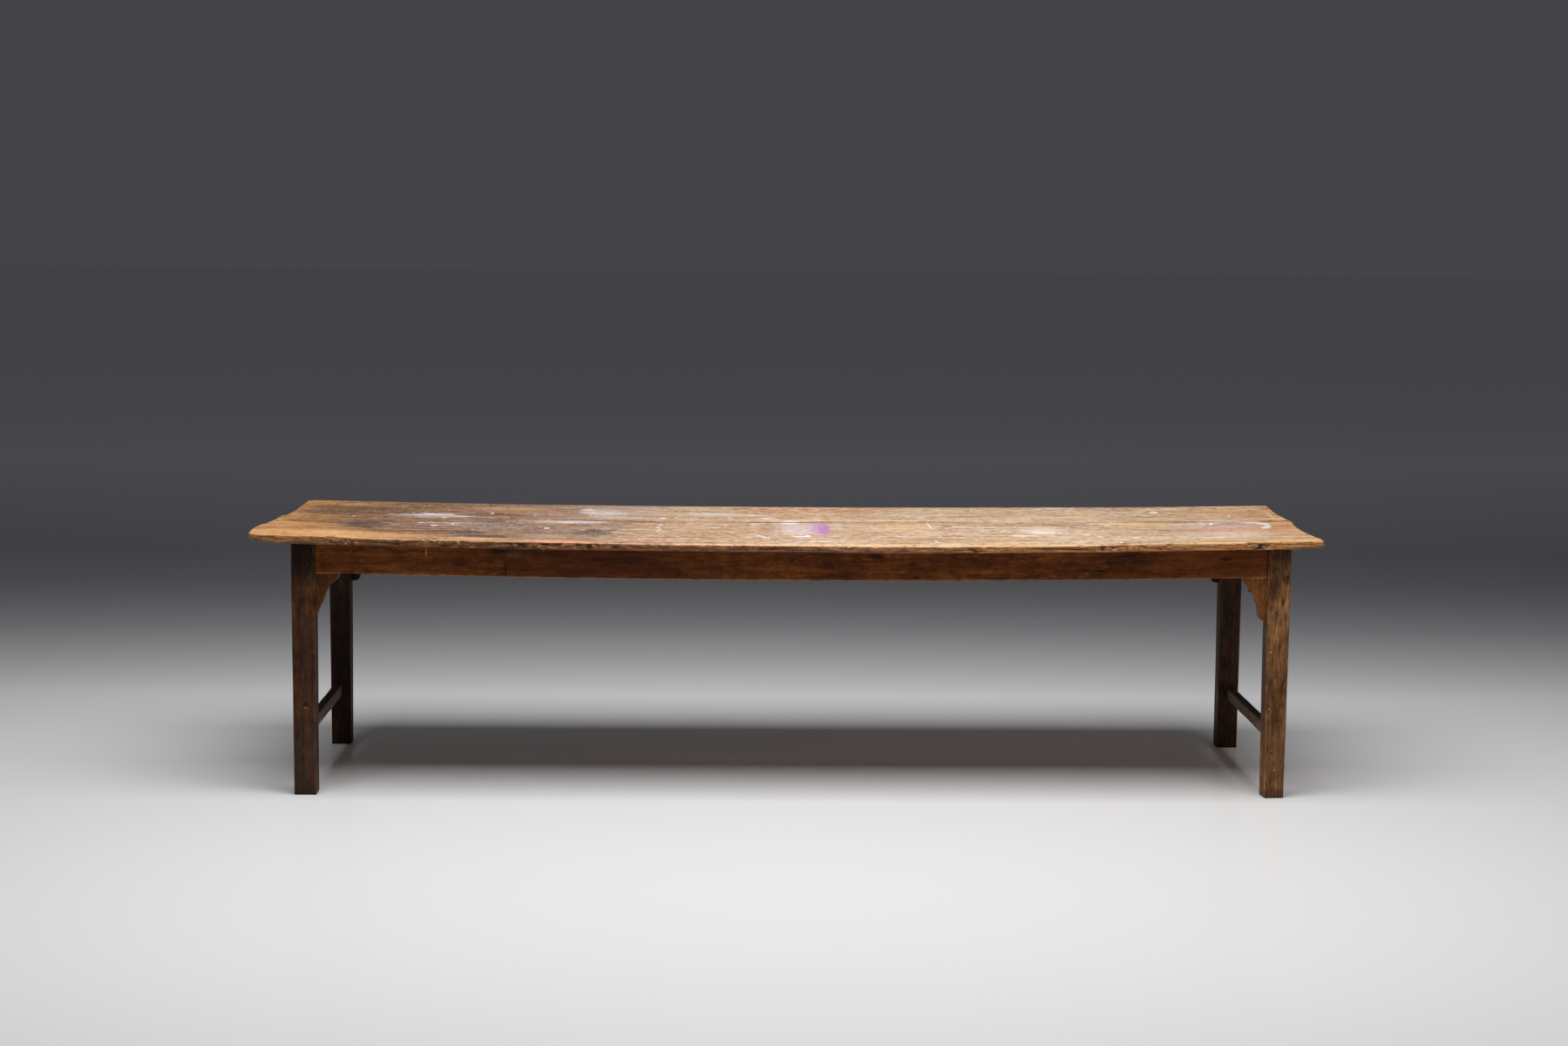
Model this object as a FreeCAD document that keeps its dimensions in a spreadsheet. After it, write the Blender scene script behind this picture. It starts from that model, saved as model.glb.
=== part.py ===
import FreeCAD, Part
import math
import os

import Sketcher
from FreeCAD import Placement, Rotation, Vector

# A long refectory table: two sagging boards on a pegged frame of aprons, legs and end stretchers.
# Millimetres, +Z up, +X along the table, front at -Y, origin on the floor under the middle of the top.

# Driving sizes
sizes = {
    "top_length": 3066,
    "front_board_width": 500,
    "back_board_width": 425,
    "board_gap": 2,  # open joint between the two boards
    "board_thickness": 24,
    "table_height": 761,  # upper face of the top at its two ends
    "sag": 19,  # drop of the top at mid-length
    "front_overhang": 42,  # top past the front faces of the legs
    "back_overhang": 66,
    "end_overhang": 98,
    "corner_radius": 22,  # outer corners of the top, in plan
    "nosing_radius": 8,  # worn upper edge of the top
    "under_radius": 3,  # lower edge of the top
    "leg_size": 66,  # square section of the straight upper part
    "foot_size": 59,  # square section at the floor
    "leg_arris": 2.5,  # rounding of the long corners of a leg
    "foot_chamfer": 2,
    "taper_drop": 12,  # straight part of a leg that shows below its bracket
    "apron_height": 86,
    "apron_thickness": 24,
    "apron_setback": 4,  # apron faces behind the leg faces
    "apron_arris": 2,
    "tenon_thickness": 10,
    "tenon_shoulder": 12,  # apron above and below its tenon
    "mortise_web": 5,  # wood between the two mortises in a leg
    "bracket_width": 72,
    "bracket_height": 120,
    "bracket_thickness": 22,
    "nose_radius": 34,  # upper round of a bracket's ogee
    "hollow_radius": 110,
    "toe_radius": 16,  # lower round of a bracket's ogee
    "toe_flat": 10,
    "stretcher_height": 36,
    "stretcher_thickness": 26,
    "stretcher_bottom": 156,  # floor to the lower edge of a stretcher
    "stretcher_setback": 9,  # stretcher face behind the outer leg face
    "stretcher_tenon_thickness": 10,
    "stretcher_tenon_shoulder": 7,
    "stretcher_tenon_cover": 22,  # wood of the leg beyond the tenon's end
    "batten_width": 60,
    "batten_height": 38,
    "batten_spacing": 900,
    "batten_housing": 10,  # batten ends let into the long aprons
    "peg_radius": 4,
    "peg_spacing": 34,  # between the two pegs of one apron tenon
    "peg_bite": 10,  # peg past the far side of its tenon
    "peg_point": 6,
    "peg_tip_radius": 2.5,
    "peg_proud": 0.5,
    "nail_radius": 2,
    "nail_head_radius": 4.5,
    "nail_head_height": 2,
    "nail_point": 7,
    "nail_tip_radius": 0.4,
    "batten_nail_bite": 15,  # into the boards
    "batten_nail_inset": 80,  # from the long aprons and from the joint of the boards
    "bracket_nail_bite": 24,  # into the aprons and legs
    "upright_nail_reach": 51,  # from the leg to the upright bracket nail
    "upright_nail_proud": 0.5,
    "level_nail_drop": 66,  # from the apron down to the level bracket nail
    "level_nail_proud": 0.5,
    "fit_clearance": 0.15,  # around tenons, pegs, nails and housed ends
    "seat_clearance": 0.05,  # under the sagging boards and aprons
}

sides = {"left": -1, "right": 1}
faces = {"front": -1, "back": 1}
run_out = 5  # holes start this far outside the face that they enter
nearly = 0.01  # tolerance for finding edges and faces

doc = FreeCAD.newDocument("refectory_table")
dims = doc.addObject("Spreadsheet::Sheet", "dims")
for row, (alias, value) in enumerate(sizes.items(), start=1):
    dims.set(f"A{row}", alias)
    dims.set(f"B{row}", str(value))
    dims.setAlias(f"B{row}", alias)
doc.recompute()


def size(expression):
    """Value of an expression over the sheet, in millimetres."""
    return float(dims.evalExpression(expression))


# The sag: every long edge is an arc about one centre, high above the middle of the table.
top_arc = "((dims.top_length / 2) ^ 2 / (2 * dims.sag) + dims.sag / 2)"
arc_centre = f"(dims.table_height - dims.sag + {top_arc})"
under_arc = f"({top_arc} + dims.board_thickness)"
apron_top_arc = f"({under_arc} + dims.seat_clearance)"
apron_low_arc = f"({apron_top_arc} + dims.apron_height)"


def arc_height(radius, x):
    """Height at x of the sagging arc of this radius."""
    return f"({arc_centre} - sqrt({radius} ^ 2 - ({x}) ^ 2))"


# Places of the top
top_width = "(dims.front_board_width + dims.board_gap + dims.back_board_width)"
board_width = {"front": "dims.front_board_width", "back": "dims.back_board_width"}
board_middle_y = {
    "front": f"((dims.front_board_width - {top_width}) / 2)",
    "back": f"(({top_width} - dims.back_board_width) / 2)",
}
joint_y = {
    "front": f"(dims.front_board_width - {top_width} / 2)",
    "back": f"({top_width} / 2 - dims.back_board_width)",
}

# Places of the frame
leg_face_x = "(dims.top_length / 2 - dims.end_overhang)"
leg_face_y = {
    "front": f"(dims.front_overhang - {top_width} / 2)",
    "back": f"({top_width} / 2 - dims.back_overhang)",
}
leg_axis_x = f"({leg_face_x} - dims.leg_size / 2)"
inner_face_x = f"({leg_face_x} - dims.leg_size)"
frame_middle_y = f"(({leg_face_y['back']} + {leg_face_y['front']}) / 2)"
frame_half_depth = f"(({leg_face_y['back']} - {leg_face_y['front']}) / 2)"
seat_height = arc_height(apron_top_arc, inner_face_x)

apron_middle = "(dims.apron_setback + dims.apron_thickness / 2)"
apron_inner = "(dims.apron_setback + dims.apron_thickness)"
tenon_far_side = f"({apron_middle} + dims.tenon_thickness / 2)"
tenon_length = f"(dims.leg_size - {tenon_far_side} - dims.mortise_web)"
tenon_middle = f"(dims.leg_size - {tenon_length} / 2)"
tenon_height = "(dims.apron_height - 2 * dims.tenon_shoulder)"
tenon_level = f"({seat_height} - dims.apron_height / 2)"


def inward_y(face, depth):
    """Y at a depth behind the front or back faces of the legs."""
    return f"({leg_face_y[face]} - {faces[face]} * ({depth}))"


def inward_x(side, depth):
    """X at a depth behind the left or right faces of the legs."""
    return f"({sides[side]} * ({leg_face_x} - ({depth})))"


# The ogee of a bracket, from the corner of leg and apron: X along the apron, Z up
nose_centre_x = "(dims.bracket_width - dims.nose_radius)"
toe_centre_z = "(dims.toe_radius - dims.bracket_height)"
nose_reach = "(dims.nose_radius + dims.hollow_radius)"
toe_reach = "(dims.toe_radius + dims.hollow_radius)"
round_gap = f"sqrt((dims.toe_flat - {nose_centre_x}) ^ 2 + {toe_centre_z} ^ 2)"
round_run = f"(dims.toe_flat - {nose_centre_x}) / {round_gap}"
round_fall = f"{toe_centre_z} / {round_gap}"
hollow_along = f"(({nose_reach} ^ 2 - {toe_reach} ^ 2 + {round_gap} ^ 2) / (2 * {round_gap}))"
hollow_aside = f"sqrt({nose_reach} ^ 2 - {hollow_along} ^ 2)"
hollow_x = f"({nose_centre_x} + {hollow_along} * {round_run} - {hollow_aside} * {round_fall})"
hollow_z = f"({hollow_along} * {round_fall} + {hollow_aside} * {round_run})"


def hollow_height(x):
    """Height of the hollow of a bracket at a distance from the leg."""
    return f"({hollow_z} + sqrt(dims.hollow_radius ^ 2 - ({x} - {hollow_x}) ^ 2))"


def hollow_side(z):
    """Distance of the hollow of a bracket from the leg at a height."""
    return f"({hollow_x} - sqrt(dims.hollow_radius ^ 2 - ({z} - {hollow_z}) ^ 2))"


bracket_nose_x = f"({inner_face_x} - dims.bracket_width)"
bracket_level = f"({arc_height(apron_low_arc, bracket_nose_x)} - dims.seat_clearance)"
bracket_rise = (
    f"({arc_height(apron_low_arc, inner_face_x)} - {arc_height(apron_low_arc, bracket_nose_x)})"
)
bracket_middle = "(dims.apron_setback + dims.bracket_thickness / 2)"
taper_top = f"({bracket_level} - dims.bracket_height - dims.taper_drop)"

# Places of the stretchers and battens
stretcher_top = "(dims.stretcher_bottom + dims.stretcher_height)"
stretcher_level = "(dims.stretcher_bottom + dims.stretcher_height / 2)"
batten_places = {"left": "(-dims.batten_spacing)", "centre": "0", "right": "dims.batten_spacing"}


def leg_section(height):
    """Side of the square leg at a height in its taper."""
    return f"(dims.foot_size + (dims.leg_size - dims.foot_size) * ({height}) / {taper_top})"


def stretcher_half(height):
    """From the middle of the frame to the inner faces of the legs, front to back."""
    return f"({frame_half_depth} - dims.leg_size / 2 - {leg_section(height)} / 2)"


leg_side_x = f"({leg_axis_x} + {leg_section(stretcher_level)} / 2)"
stretcher_inset = "(dims.stretcher_setback + dims.stretcher_thickness / 2)"
stretcher_tenon = f"({leg_section(stretcher_level)} - dims.stretcher_tenon_cover)"
stretcher_tenon_height = "(dims.stretcher_height - 2 * dims.stretcher_tenon_shoulder)"
stretcher_tenon_end = f"({stretcher_half(stretcher_level)} + {stretcher_tenon})"


def batten_top(place):
    """Height of a batten's flat upper face, under the lowest line of the boards above it."""
    nearest = f"max(0; abs({place}) - dims.batten_width / 2)"
    return f"({arc_height(under_arc, nearest)} - dims.seat_clearance)"


# Fasteners: one list serves the holes in the pieces and the solids that fill them.
# mouth is the point on the surface, inward the direction along the axis, depth the length in the wood.
fasteners = []


def drive(group, pieces, mouth, axis, inward, depth, proud):
    fasteners.append({
        "group": group,
        "pieces": pieces,
        "mouth": mouth,
        "axis": axis,
        "inward": inward,
        "depth": depth,
        "proud": proud,
        "kind": "peg" if group.endswith("pegs") else "nail",
    })


peg_depth = f"({tenon_far_side} + dims.peg_bite)"
stretcher_peg_depth = f"({stretcher_inset} + dims.stretcher_tenon_thickness / 2 + dims.peg_bite)"
# A nail's head stands clear of the slanting hollow by its own radius.
upright_nail_seat = hollow_height("(dims.upright_nail_reach - dims.nail_head_radius)")
level_nail_seat = hollow_side("(dims.nail_head_radius - dims.level_nail_drop)")
for side, along in sides.items():
    for face, across in faces.items():
        leg = f"leg_{face}_{side}"
        bracket = f"bracket_{face}_{side}"
        for step in (-1, 1):
            level = f"({tenon_level} + {step} * dims.peg_spacing / 2)"
            mouth = (inward_x(side, tenon_middle), leg_face_y[face], level)
            pieces = (leg, f"apron_{face}")
            drive("long_apron_pegs", pieces, mouth, "y", -across, peg_depth, "dims.peg_proud")
            mouth = (inward_x(side, "0"), inward_y(face, tenon_middle), level)
            pieces = (leg, f"apron_{side}")
            drive("end_apron_pegs", pieces, mouth, "x", -along, peg_depth, "dims.peg_proud")

        peg_y = f"({frame_middle_y} + {across} * ({stretcher_tenon_end} - {stretcher_tenon} / 2))"
        mouth = (f"({along} * {leg_side_x})", peg_y, stretcher_level)
        pieces = (leg, f"stretcher_{side}")
        drive("stretcher_pegs", pieces, mouth, "x", -along, stretcher_peg_depth, "dims.peg_proud")

        nail_y = inward_y(face, bracket_middle)
        nail_x = inward_x(side, "dims.leg_size + dims.upright_nail_reach")
        mouth = (nail_x, nail_y, f"({bracket_level} + {upright_nail_seat})")
        depth = f"(dims.bracket_nail_bite - {upright_nail_seat})"
        pieces = (bracket, f"apron_{face}")
        drive("bracket_nails", pieces, mouth, "z", 1, depth, "dims.upright_nail_proud")
        nail_x = inward_x(side, f"dims.leg_size + {level_nail_seat}")
        mouth = (nail_x, nail_y, f"({bracket_level} - dims.level_nail_drop)")
        depth = f"(dims.bracket_nail_bite + {level_nail_seat})"
        drive("bracket_nails", (bracket, leg), mouth, "x", along, depth, "dims.level_nail_proud")

for name, place in batten_places.items():
    for face, across in faces.items():
        rows = (
            inward_y(face, f"{apron_inner} + dims.batten_nail_inset"),
            f"({joint_y[face]} + {across} * dims.batten_nail_inset)",
        )
        for nail_y in rows:
            mouth = (place, nail_y, f"({batten_top(place)} - dims.batten_height)")
            depth = "(dims.batten_height + dims.batten_nail_bite)"
            drive("batten_nails", (f"batten_{name}", f"top_board_{face}"), mouth, "z", 1, depth, "0")

# Bodies, sketches and features
origins = {}


def make_body(name, x="0", y="0", z="0", turned=False):
    """A piece whose own origin lies at x, y, z; a turned piece faces the other way along X and Y."""
    body = doc.addObject("PartDesign::Body", name)
    body.Label = name
    if turned:
        body.Placement = Placement(Vector(), Rotation(Vector(0, 0, 1), 180))
    for axis, expression in zip("xyz", (x, y, z)):
        body.setExpression(f"Placement.Base.{axis}", expression)
    sign = -1 if turned else 1
    origins[name] = {"x": (x, sign), "y": (y, sign), "z": (z, 1)}
    return body


def local(body, axis, expression):
    """A coordinate of the table as an expression in the frame of one piece."""
    origin, sign = origins[body.Name][axis]
    return f"({sign} * (({expression}) - ({origin})))"


def start_sketch(body, name, plane):
    origin_plane = next(item for item in body.Origin.OriginFeatures if item.Role == plane)
    sketch = body.newObject("Sketcher::SketchObject", name)
    sketch.AttachmentSupport = [(origin_plane, "")]
    sketch.MapMode = "FlatFace"
    return sketch


def pin(sketch, geometry, point, axis, expression):
    """Hold one coordinate of a sketch point at an expression."""
    value = size(expression)
    if value >= 0:
        constraint = Sketcher.Constraint(f"Distance{axis}", -1, 1, geometry, point, value)
    else:
        constraint = Sketcher.Constraint(f"Distance{axis}", geometry, point, -1, 1, -value)
        expression = f"-({expression})"
    index = sketch.addConstraint(constraint)
    sketch.setExpression(f"Constraints[{index}]", expression)


def arc_between(start, end, radius):
    """Short arc that runs counter-clockwise from start to end."""
    chord = end - start
    leftward = Vector(-chord.y, chord.x, 0).normalize()
    centre = (start + end) / 2 + leftward * math.sqrt(radius ** 2 - (chord.Length / 2) ** 2)
    first = math.atan2(start.y - centre.y, start.x - centre.x)
    last = math.atan2(end.y - centre.y, end.x - centre.x)
    if last < first:
        last += 2 * math.pi
    return Part.ArcOfCircle(Part.Circle(centre, Vector(0, 0, 1), radius), first, last)


def outline(body, name, plane, corners, bends=None):
    """Closed sketch through corners that are given as pairs of expressions.

    bends maps an edge's number to the radius of an arc in its place and the side that it bulges to:
    1 for the right of the way round, -1 for the left.
    """
    sketch = start_sketch(body, name, plane)
    bends = bends or {}
    points = [Vector(size(x), size(y), 0) for x, y in corners]
    ends = []
    for number, start in enumerate(points):
        end = points[(number + 1) % len(points)]
        radius, bulge = bends.get(number, (None, 1))
        ends.append((1, 2) if bulge > 0 else (2, 1))
        if radius is None:
            sketch.addGeometry(Part.LineSegment(start, end))
        elif bulge > 0:
            sketch.addGeometry(arc_between(start, end, size(radius)))
        else:
            sketch.addGeometry(arc_between(end, start, size(radius)))
    for number, (x, y) in enumerate(corners):
        following = (number + 1) % len(corners)
        sketch.addConstraint(
            Sketcher.Constraint("Coincident", number, ends[number][1], following, ends[following][0])
        )
        pin(sketch, number, ends[number][0], "X", x)
        pin(sketch, number, ends[number][0], "Y", y)
    for number, (radius, bulge) in bends.items():
        index = sketch.addConstraint(Sketcher.Constraint("Radius", number, size(radius)))
        sketch.setExpression(f"Constraints[{index}]", radius)
    return sketch


def sagging_outline(body, name, half_length, upper_arc, lower_arc):
    """A long strip between two arcs of the sag, seen from the front."""
    lower_end = arc_height(lower_arc, half_length)
    upper_end = arc_height(upper_arc, half_length)
    corners = [
        (f"-{half_length}", lower_end),
        (half_length, lower_end),
        (half_length, upper_end),
        (f"-{half_length}", upper_end),
    ]
    return outline(body, name, "XZ_Plane", corners, {0: (lower_arc, 1), 2: (upper_arc, -1)})


def pad(body, name, sketch, length, centred=True):
    feature = body.newObject("PartDesign::Pad", name)
    feature.Profile = sketch
    feature.SideType = "Symmetric" if centred else "One side"
    feature.setExpression("Length", length)
    doc.recompute()
    return feature


def block(body, name, kind, centre, lengths):
    """Box that is added to a piece or cut from it, by its middle and its lengths on the table."""
    feature = body.newObject(f"PartDesign::{kind}Box", name)
    for side, length in zip(("Length", "Width", "Height"), lengths):
        feature.setExpression(side, length)
    for axis, middle, length in zip("xyz", centre, lengths):
        feature.setExpression(f"Placement.Base.{axis}", f"{local(body, axis, middle)} - ({length}) / 2")


def edges_of(feature, wanted):
    """Names of the edges of a feature that pass a test."""
    edges = feature.Shape.Edges
    return [f"Edge{number}" for number, edge in enumerate(edges, start=1) if wanted(edge)]


def fillet(body, name, base, edge_names, radius):
    feature = body.newObject("PartDesign::Fillet", name)
    feature.Base = (base, edge_names)
    feature.setExpression("Radius", radius)
    doc.recompute()
    return feature


def bore_fasteners(body):
    """Holes for every peg and nail that enters this piece."""
    for number, item in enumerate(fasteners):
        if body.Name not in item["pieces"]:
            continue
        feature = body.newObject("PartDesign::SubtractiveCylinder", f"hole_{number}_{body.Name}")
        feature.setExpression("Radius", f"dims.{item['kind']}_radius + dims.fit_clearance")
        feature.setExpression("Height", f"{item['depth']} + dims.fit_clearance + {run_out}")
        feature.Placement = fastener_turn(item, origins[body.Name]["x"][1])
        for axis, mouth in zip("xyz", item["mouth"]):
            start = f"{mouth} - {item['inward'] * run_out}" if axis == item["axis"] else mouth
            feature.setExpression(f"Placement.Base.{axis}", local(body, axis, start))


def fastener_turn(item, sign=1):
    """Turn that points +Z along a fastener, seen from a piece that may face the other way."""
    directions = {
        "x": Vector(sign * item["inward"], 0, 0),
        "y": Vector(0, sign * item["inward"], 0),
        "z": Vector(0, 0, item["inward"]),
    }
    return Placement(Vector(), Rotation(Vector(0, 0, 1), directions[item["axis"]]))


# Pieces of the top
def make_top_board(face):
    width = board_width[face]
    body = make_body(f"top_board_{face}", y=board_middle_y[face])
    strip = sagging_outline(body, f"strip_{face}", "dims.top_length / 2", top_arc, under_arc)
    plank = pad(body, f"plank_{face}", strip, width)
    outer_y = faces[face] * size(width) / 2
    half_length = size("dims.top_length / 2")

    def outer_corner(edge):
        box = edge.BoundBox
        upright = box.XLength < nearly and box.YLength < nearly
        return upright and abs(box.YMax - outer_y) < nearly and abs(abs(box.XMax) - half_length) < nearly

    corners = edges_of(plank, outer_corner)
    rounded = fillet(body, f"corners_{face}", plank, corners, "dims.corner_radius")

    def rim_of(feature, radius):
        surface = next(
            item
            for item in feature.Shape.Faces
            if isinstance(item.Surface, Part.Cylinder) and abs(item.Surface.Radius - size(radius)) < nearly
        )
        rim = [edge for edge in surface.Edges if abs(edge.CenterOfMass.y + outer_y) > nearly]
        return edges_of(feature, lambda edge: any(edge.isSame(other) for other in rim))

    nosing = fillet(body, f"nosing_{face}", rounded, rim_of(rounded, top_arc), "dims.nosing_radius")
    fillet(body, f"under_edge_{face}", nosing, rim_of(nosing, under_arc), "dims.under_radius")
    bore_fasteners(body)
    return body


def make_batten(name, place):
    body = make_body(f"batten_{name}", x=place, y=frame_middle_y)
    half = "dims.batten_width / 2"
    top = batten_top(place)
    corners = [
        (f"-{half}", f"{top} - dims.batten_height"),
        (half, f"{top} - dims.batten_height"),
        (half, top),
        (f"-{half}", top),
    ]
    section = outline(body, f"section_{name}", "XZ_Plane", corners)
    pad(body, f"bar_{name}", section, f"2 * ({frame_half_depth} - {apron_inner} + dims.batten_housing)")
    bore_fasteners(body)
    return body


# Pieces of the frame
def make_long_apron(face):
    body = make_body(f"apron_{face}", y=inward_y(face, apron_middle))
    strip = sagging_outline(body, f"apron_strip_{face}", inner_face_x, apron_top_arc, apron_low_arc)
    rail = pad(body, f"rail_{face}", strip, "dims.apron_thickness")
    low_radius = size(apron_low_arc)

    def low_edge(edge):
        return isinstance(edge.Curve, Part.Circle) and abs(edge.Curve.Radius - low_radius) < nearly

    fillet(body, f"rail_arris_{face}", rail, edges_of(rail, low_edge), "dims.apron_arris")
    for side in sides:
        tenon_x = inward_x(side, tenon_middle)
        centre = (tenon_x, inward_y(face, apron_middle), tenon_level)
        lengths = (tenon_length, "dims.tenon_thickness", tenon_height)
        block(body, f"tenon_{face}_{side}", "Additive", centre, lengths)
    for name, place in batten_places.items():
        floor = f"({batten_top(place)} - dims.batten_height - dims.fit_clearance)"
        height = f"(dims.batten_height + 2 * dims.fit_clearance + {run_out})"
        depth = f"(dims.batten_housing + dims.fit_clearance + {run_out})"
        middle_y = inward_y(face, f"{apron_inner} + {run_out} - {depth} / 2")
        centre = (place, middle_y, f"{floor} + {height} / 2")
        lengths = ("(dims.batten_width + 2 * dims.fit_clearance)", depth, height)
        block(body, f"housing_{face}_{name}", "Subtractive", centre, lengths)
    bore_fasteners(body)
    return body


def make_end_apron(side):
    body = make_body(f"apron_{side}", x=inward_x(side, apron_middle), y=frame_middle_y)
    half = f"({frame_half_depth} - dims.leg_size)"
    top = f"({arc_height(under_arc, f'{leg_face_x} - {apron_inner}')} - dims.seat_clearance)"
    low = f"({seat_height} - dims.apron_height)"
    corners = [(f"-{half}", low), (half, low), (half, top), (f"-{half}", top)]
    rail = pad(
        body,
        f"end_rail_{side}",
        outline(body, f"end_strip_{side}", "YZ_Plane", corners),
        "dims.apron_thickness",
    )
    low_z = size(low)
    low_edges = edges_of(
        rail, lambda edge: edge.BoundBox.ZMax < low_z + nearly and edge.BoundBox.YLength > size(half)
    )
    fillet(body, f"end_rail_arris_{side}", rail, low_edges, "dims.apron_arris")
    for face in faces:
        tenon_y = inward_y(face, tenon_middle)
        centre = (inward_x(side, apron_middle), tenon_y, tenon_level)
        lengths = ("dims.tenon_thickness", tenon_length, tenon_height)
        block(body, f"tenon_{side}_{face}", "Additive", centre, lengths)
    bore_fasteners(body)
    return body


def square_sketch(body, name, side, height):
    """Square about a leg's axis, with rounded corners."""
    far = f"({side} / 2)"
    near = f"({side} / 2 - dims.leg_arris)"
    corners = [
        (f"-{near}", f"-{far}"), (near, f"-{far}"), (far, f"-{near}"), (far, near),
        (near, far), (f"-{near}", far), (f"-{far}", near), (f"-{far}", f"-{near}"),
    ]
    bends = {number: ("dims.leg_arris", 1) for number in (1, 3, 5, 7)}
    sketch = outline(body, name, "XY_Plane", corners, bends)
    sketch.setExpression("AttachmentOffset.Base.z", height)
    return sketch


def make_leg(face, side):
    name = f"{face}_{side}"
    body = make_body(
        f"leg_{name}",
        x=inward_x(side, "dims.leg_size / 2"),
        y=inward_y(face, "dims.leg_size / 2"),
    )
    sole = square_sketch(body, f"sole_{name}", "(dims.foot_size - 2 * dims.foot_chamfer)", "0")
    foot = square_sketch(body, f"foot_{name}", leg_section("dims.foot_chamfer"), "dims.foot_chamfer")
    knee = square_sketch(body, f"knee_{name}", "dims.leg_size", taper_top)
    taper = body.newObject("PartDesign::AdditiveLoft", f"taper_{name}")
    taper.Profile = sole
    taper.Sections = [foot, knee]
    taper.Ruled = True
    pad(body, f"post_{name}", knee, f"{seat_height} - {taper_top}", centred=False)

    room = "2 * dims.fit_clearance"
    mortise = f"({tenon_length} + dims.fit_clearance + {run_out})"
    mortise_middle = f"dims.leg_size + {run_out} - {mortise} / 2"
    thick, tall = f"dims.tenon_thickness + {room}", f"{tenon_height} + {room}"
    centre = (inward_x(side, mortise_middle), inward_y(face, apron_middle), tenon_level)
    block(body, f"long_mortise_{name}", "Subtractive", centre, (mortise, thick, tall))
    centre = (inward_x(side, apron_middle), inward_y(face, mortise_middle), tenon_level)
    block(body, f"end_mortise_{name}", "Subtractive", centre, (thick, mortise, tall))

    mortise = f"({stretcher_tenon} + dims.fit_clearance + {run_out})"
    reach = f"({stretcher_tenon_end} + dims.fit_clearance - {mortise} / 2)"
    centre = (
        f"{sides[side]} * ({leg_side_x} - {stretcher_inset})",
        f"{frame_middle_y} + {faces[face]} * {reach}",
        stretcher_level,
    )
    thick, tall = f"dims.stretcher_tenon_thickness + {room}", f"{stretcher_tenon_height} + {room}"
    block(body, f"low_mortise_{name}", "Subtractive", centre, (thick, mortise, tall))
    bore_fasteners(body)
    return body


def make_stretcher(side):
    centre_x = f"({sides[side]} * ({leg_side_x} - {stretcher_inset}))"
    body = make_body(f"stretcher_{side}", x=centre_x, y=frame_middle_y)
    low, top = stretcher_half("dims.stretcher_bottom"), stretcher_half(stretcher_top)
    corners = [
        (f"-{low}", "dims.stretcher_bottom"),
        (low, "dims.stretcher_bottom"),
        (top, stretcher_top),
        (f"-{top}", stretcher_top),
    ]
    rail = outline(body, f"low_strip_{side}", "YZ_Plane", corners)
    pad(body, f"low_rail_{side}", rail, "dims.stretcher_thickness")
    lengths = ("dims.stretcher_tenon_thickness", f"2 * {stretcher_tenon_end}", stretcher_tenon_height)
    block(body, f"low_tenons_{side}", "Additive", (centre_x, frame_middle_y, stretcher_level), lengths)
    bore_fasteners(body)
    return body


def make_bracket(face, side):
    name = f"{face}_{side}"
    body = make_body(
        f"bracket_{name}",
        x=inward_x(side, "dims.leg_size"),
        y=inward_y(face, bracket_middle),
        z=bracket_level,
        turned=side == "right",
    )
    nose_share = f"dims.nose_radius / {nose_reach}"
    toe_share = f"dims.toe_radius / {toe_reach}"
    corners = [
        ("0", bracket_rise),
        ("dims.bracket_width", "0"),
        (f"{nose_centre_x} + ({hollow_x} - {nose_centre_x}) * {nose_share}", f"{hollow_z} * {nose_share}"),
        (
            f"dims.toe_flat + ({hollow_x} - dims.toe_flat) * {toe_share}",
            f"{toe_centre_z} + ({hollow_z} - {toe_centre_z}) * {toe_share}",
        ),
        ("dims.toe_flat", "-dims.bracket_height"),
        ("0", "-dims.bracket_height"),
    ]
    bends = {1: ("dims.nose_radius", -1), 2: ("dims.hollow_radius", 1), 3: ("dims.toe_radius", -1)}
    ogee = outline(body, f"ogee_{name}", "XZ_Plane", corners, bends)
    pad(body, f"shaped_{name}", ogee, "dims.bracket_thickness")
    bore_fasteners(body)
    return body


# Pegs and nails
def make_fastener(number, item):
    """Head, shank and point in line, fused and driven into place."""
    kind = item["kind"]
    shank = f"({item['depth']} + {item['proud']} - dims.{kind}_point)"
    shank_part = doc.addObject("Part::Cylinder", f"{kind}_shank_{number}")
    shank_part.setExpression("Radius", f"dims.{kind}_radius")
    shank_part.setExpression("Height", shank)
    point_part = doc.addObject("Part::Cone", f"{kind}_tip_{number}")
    point_part.setExpression("Radius1", f"dims.{kind}_radius")
    point_part.setExpression("Radius2", f"dims.{kind}_tip_radius")
    point_part.setExpression("Height", f"dims.{kind}_point")
    point_part.setExpression("Placement.Base.z", shank)
    parts = [shank_part, point_part]
    if kind == "nail":
        head_part = doc.addObject("Part::Cylinder", f"nail_head_{number}")
        head_part.setExpression("Radius", "dims.nail_head_radius")
        head_part.setExpression("Height", "dims.nail_head_height")
        head_part.setExpression("Placement.Base.z", "-dims.nail_head_height")
        parts.append(head_part)
    whole = doc.addObject("Part::MultiFuse", f"{kind}_{number}")
    whole.Shapes = parts
    whole.Placement = fastener_turn(item)
    for axis, mouth in zip("xyz", item["mouth"]):
        shift = f" - ({item['inward']}) * ({item['proud']})" if axis == item["axis"] else ""
        whole.setExpression(f"Placement.Base.{axis}", f"{mouth}{shift}")
    return whole


def make_fastener_group(group):
    numbered = enumerate(fasteners)
    members = [make_fastener(number, item) for number, item in numbered if item["group"] == group]
    compound = doc.addObject("Part::Compound", group)
    compound.Label = group
    compound.Links = members
    return compound


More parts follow.
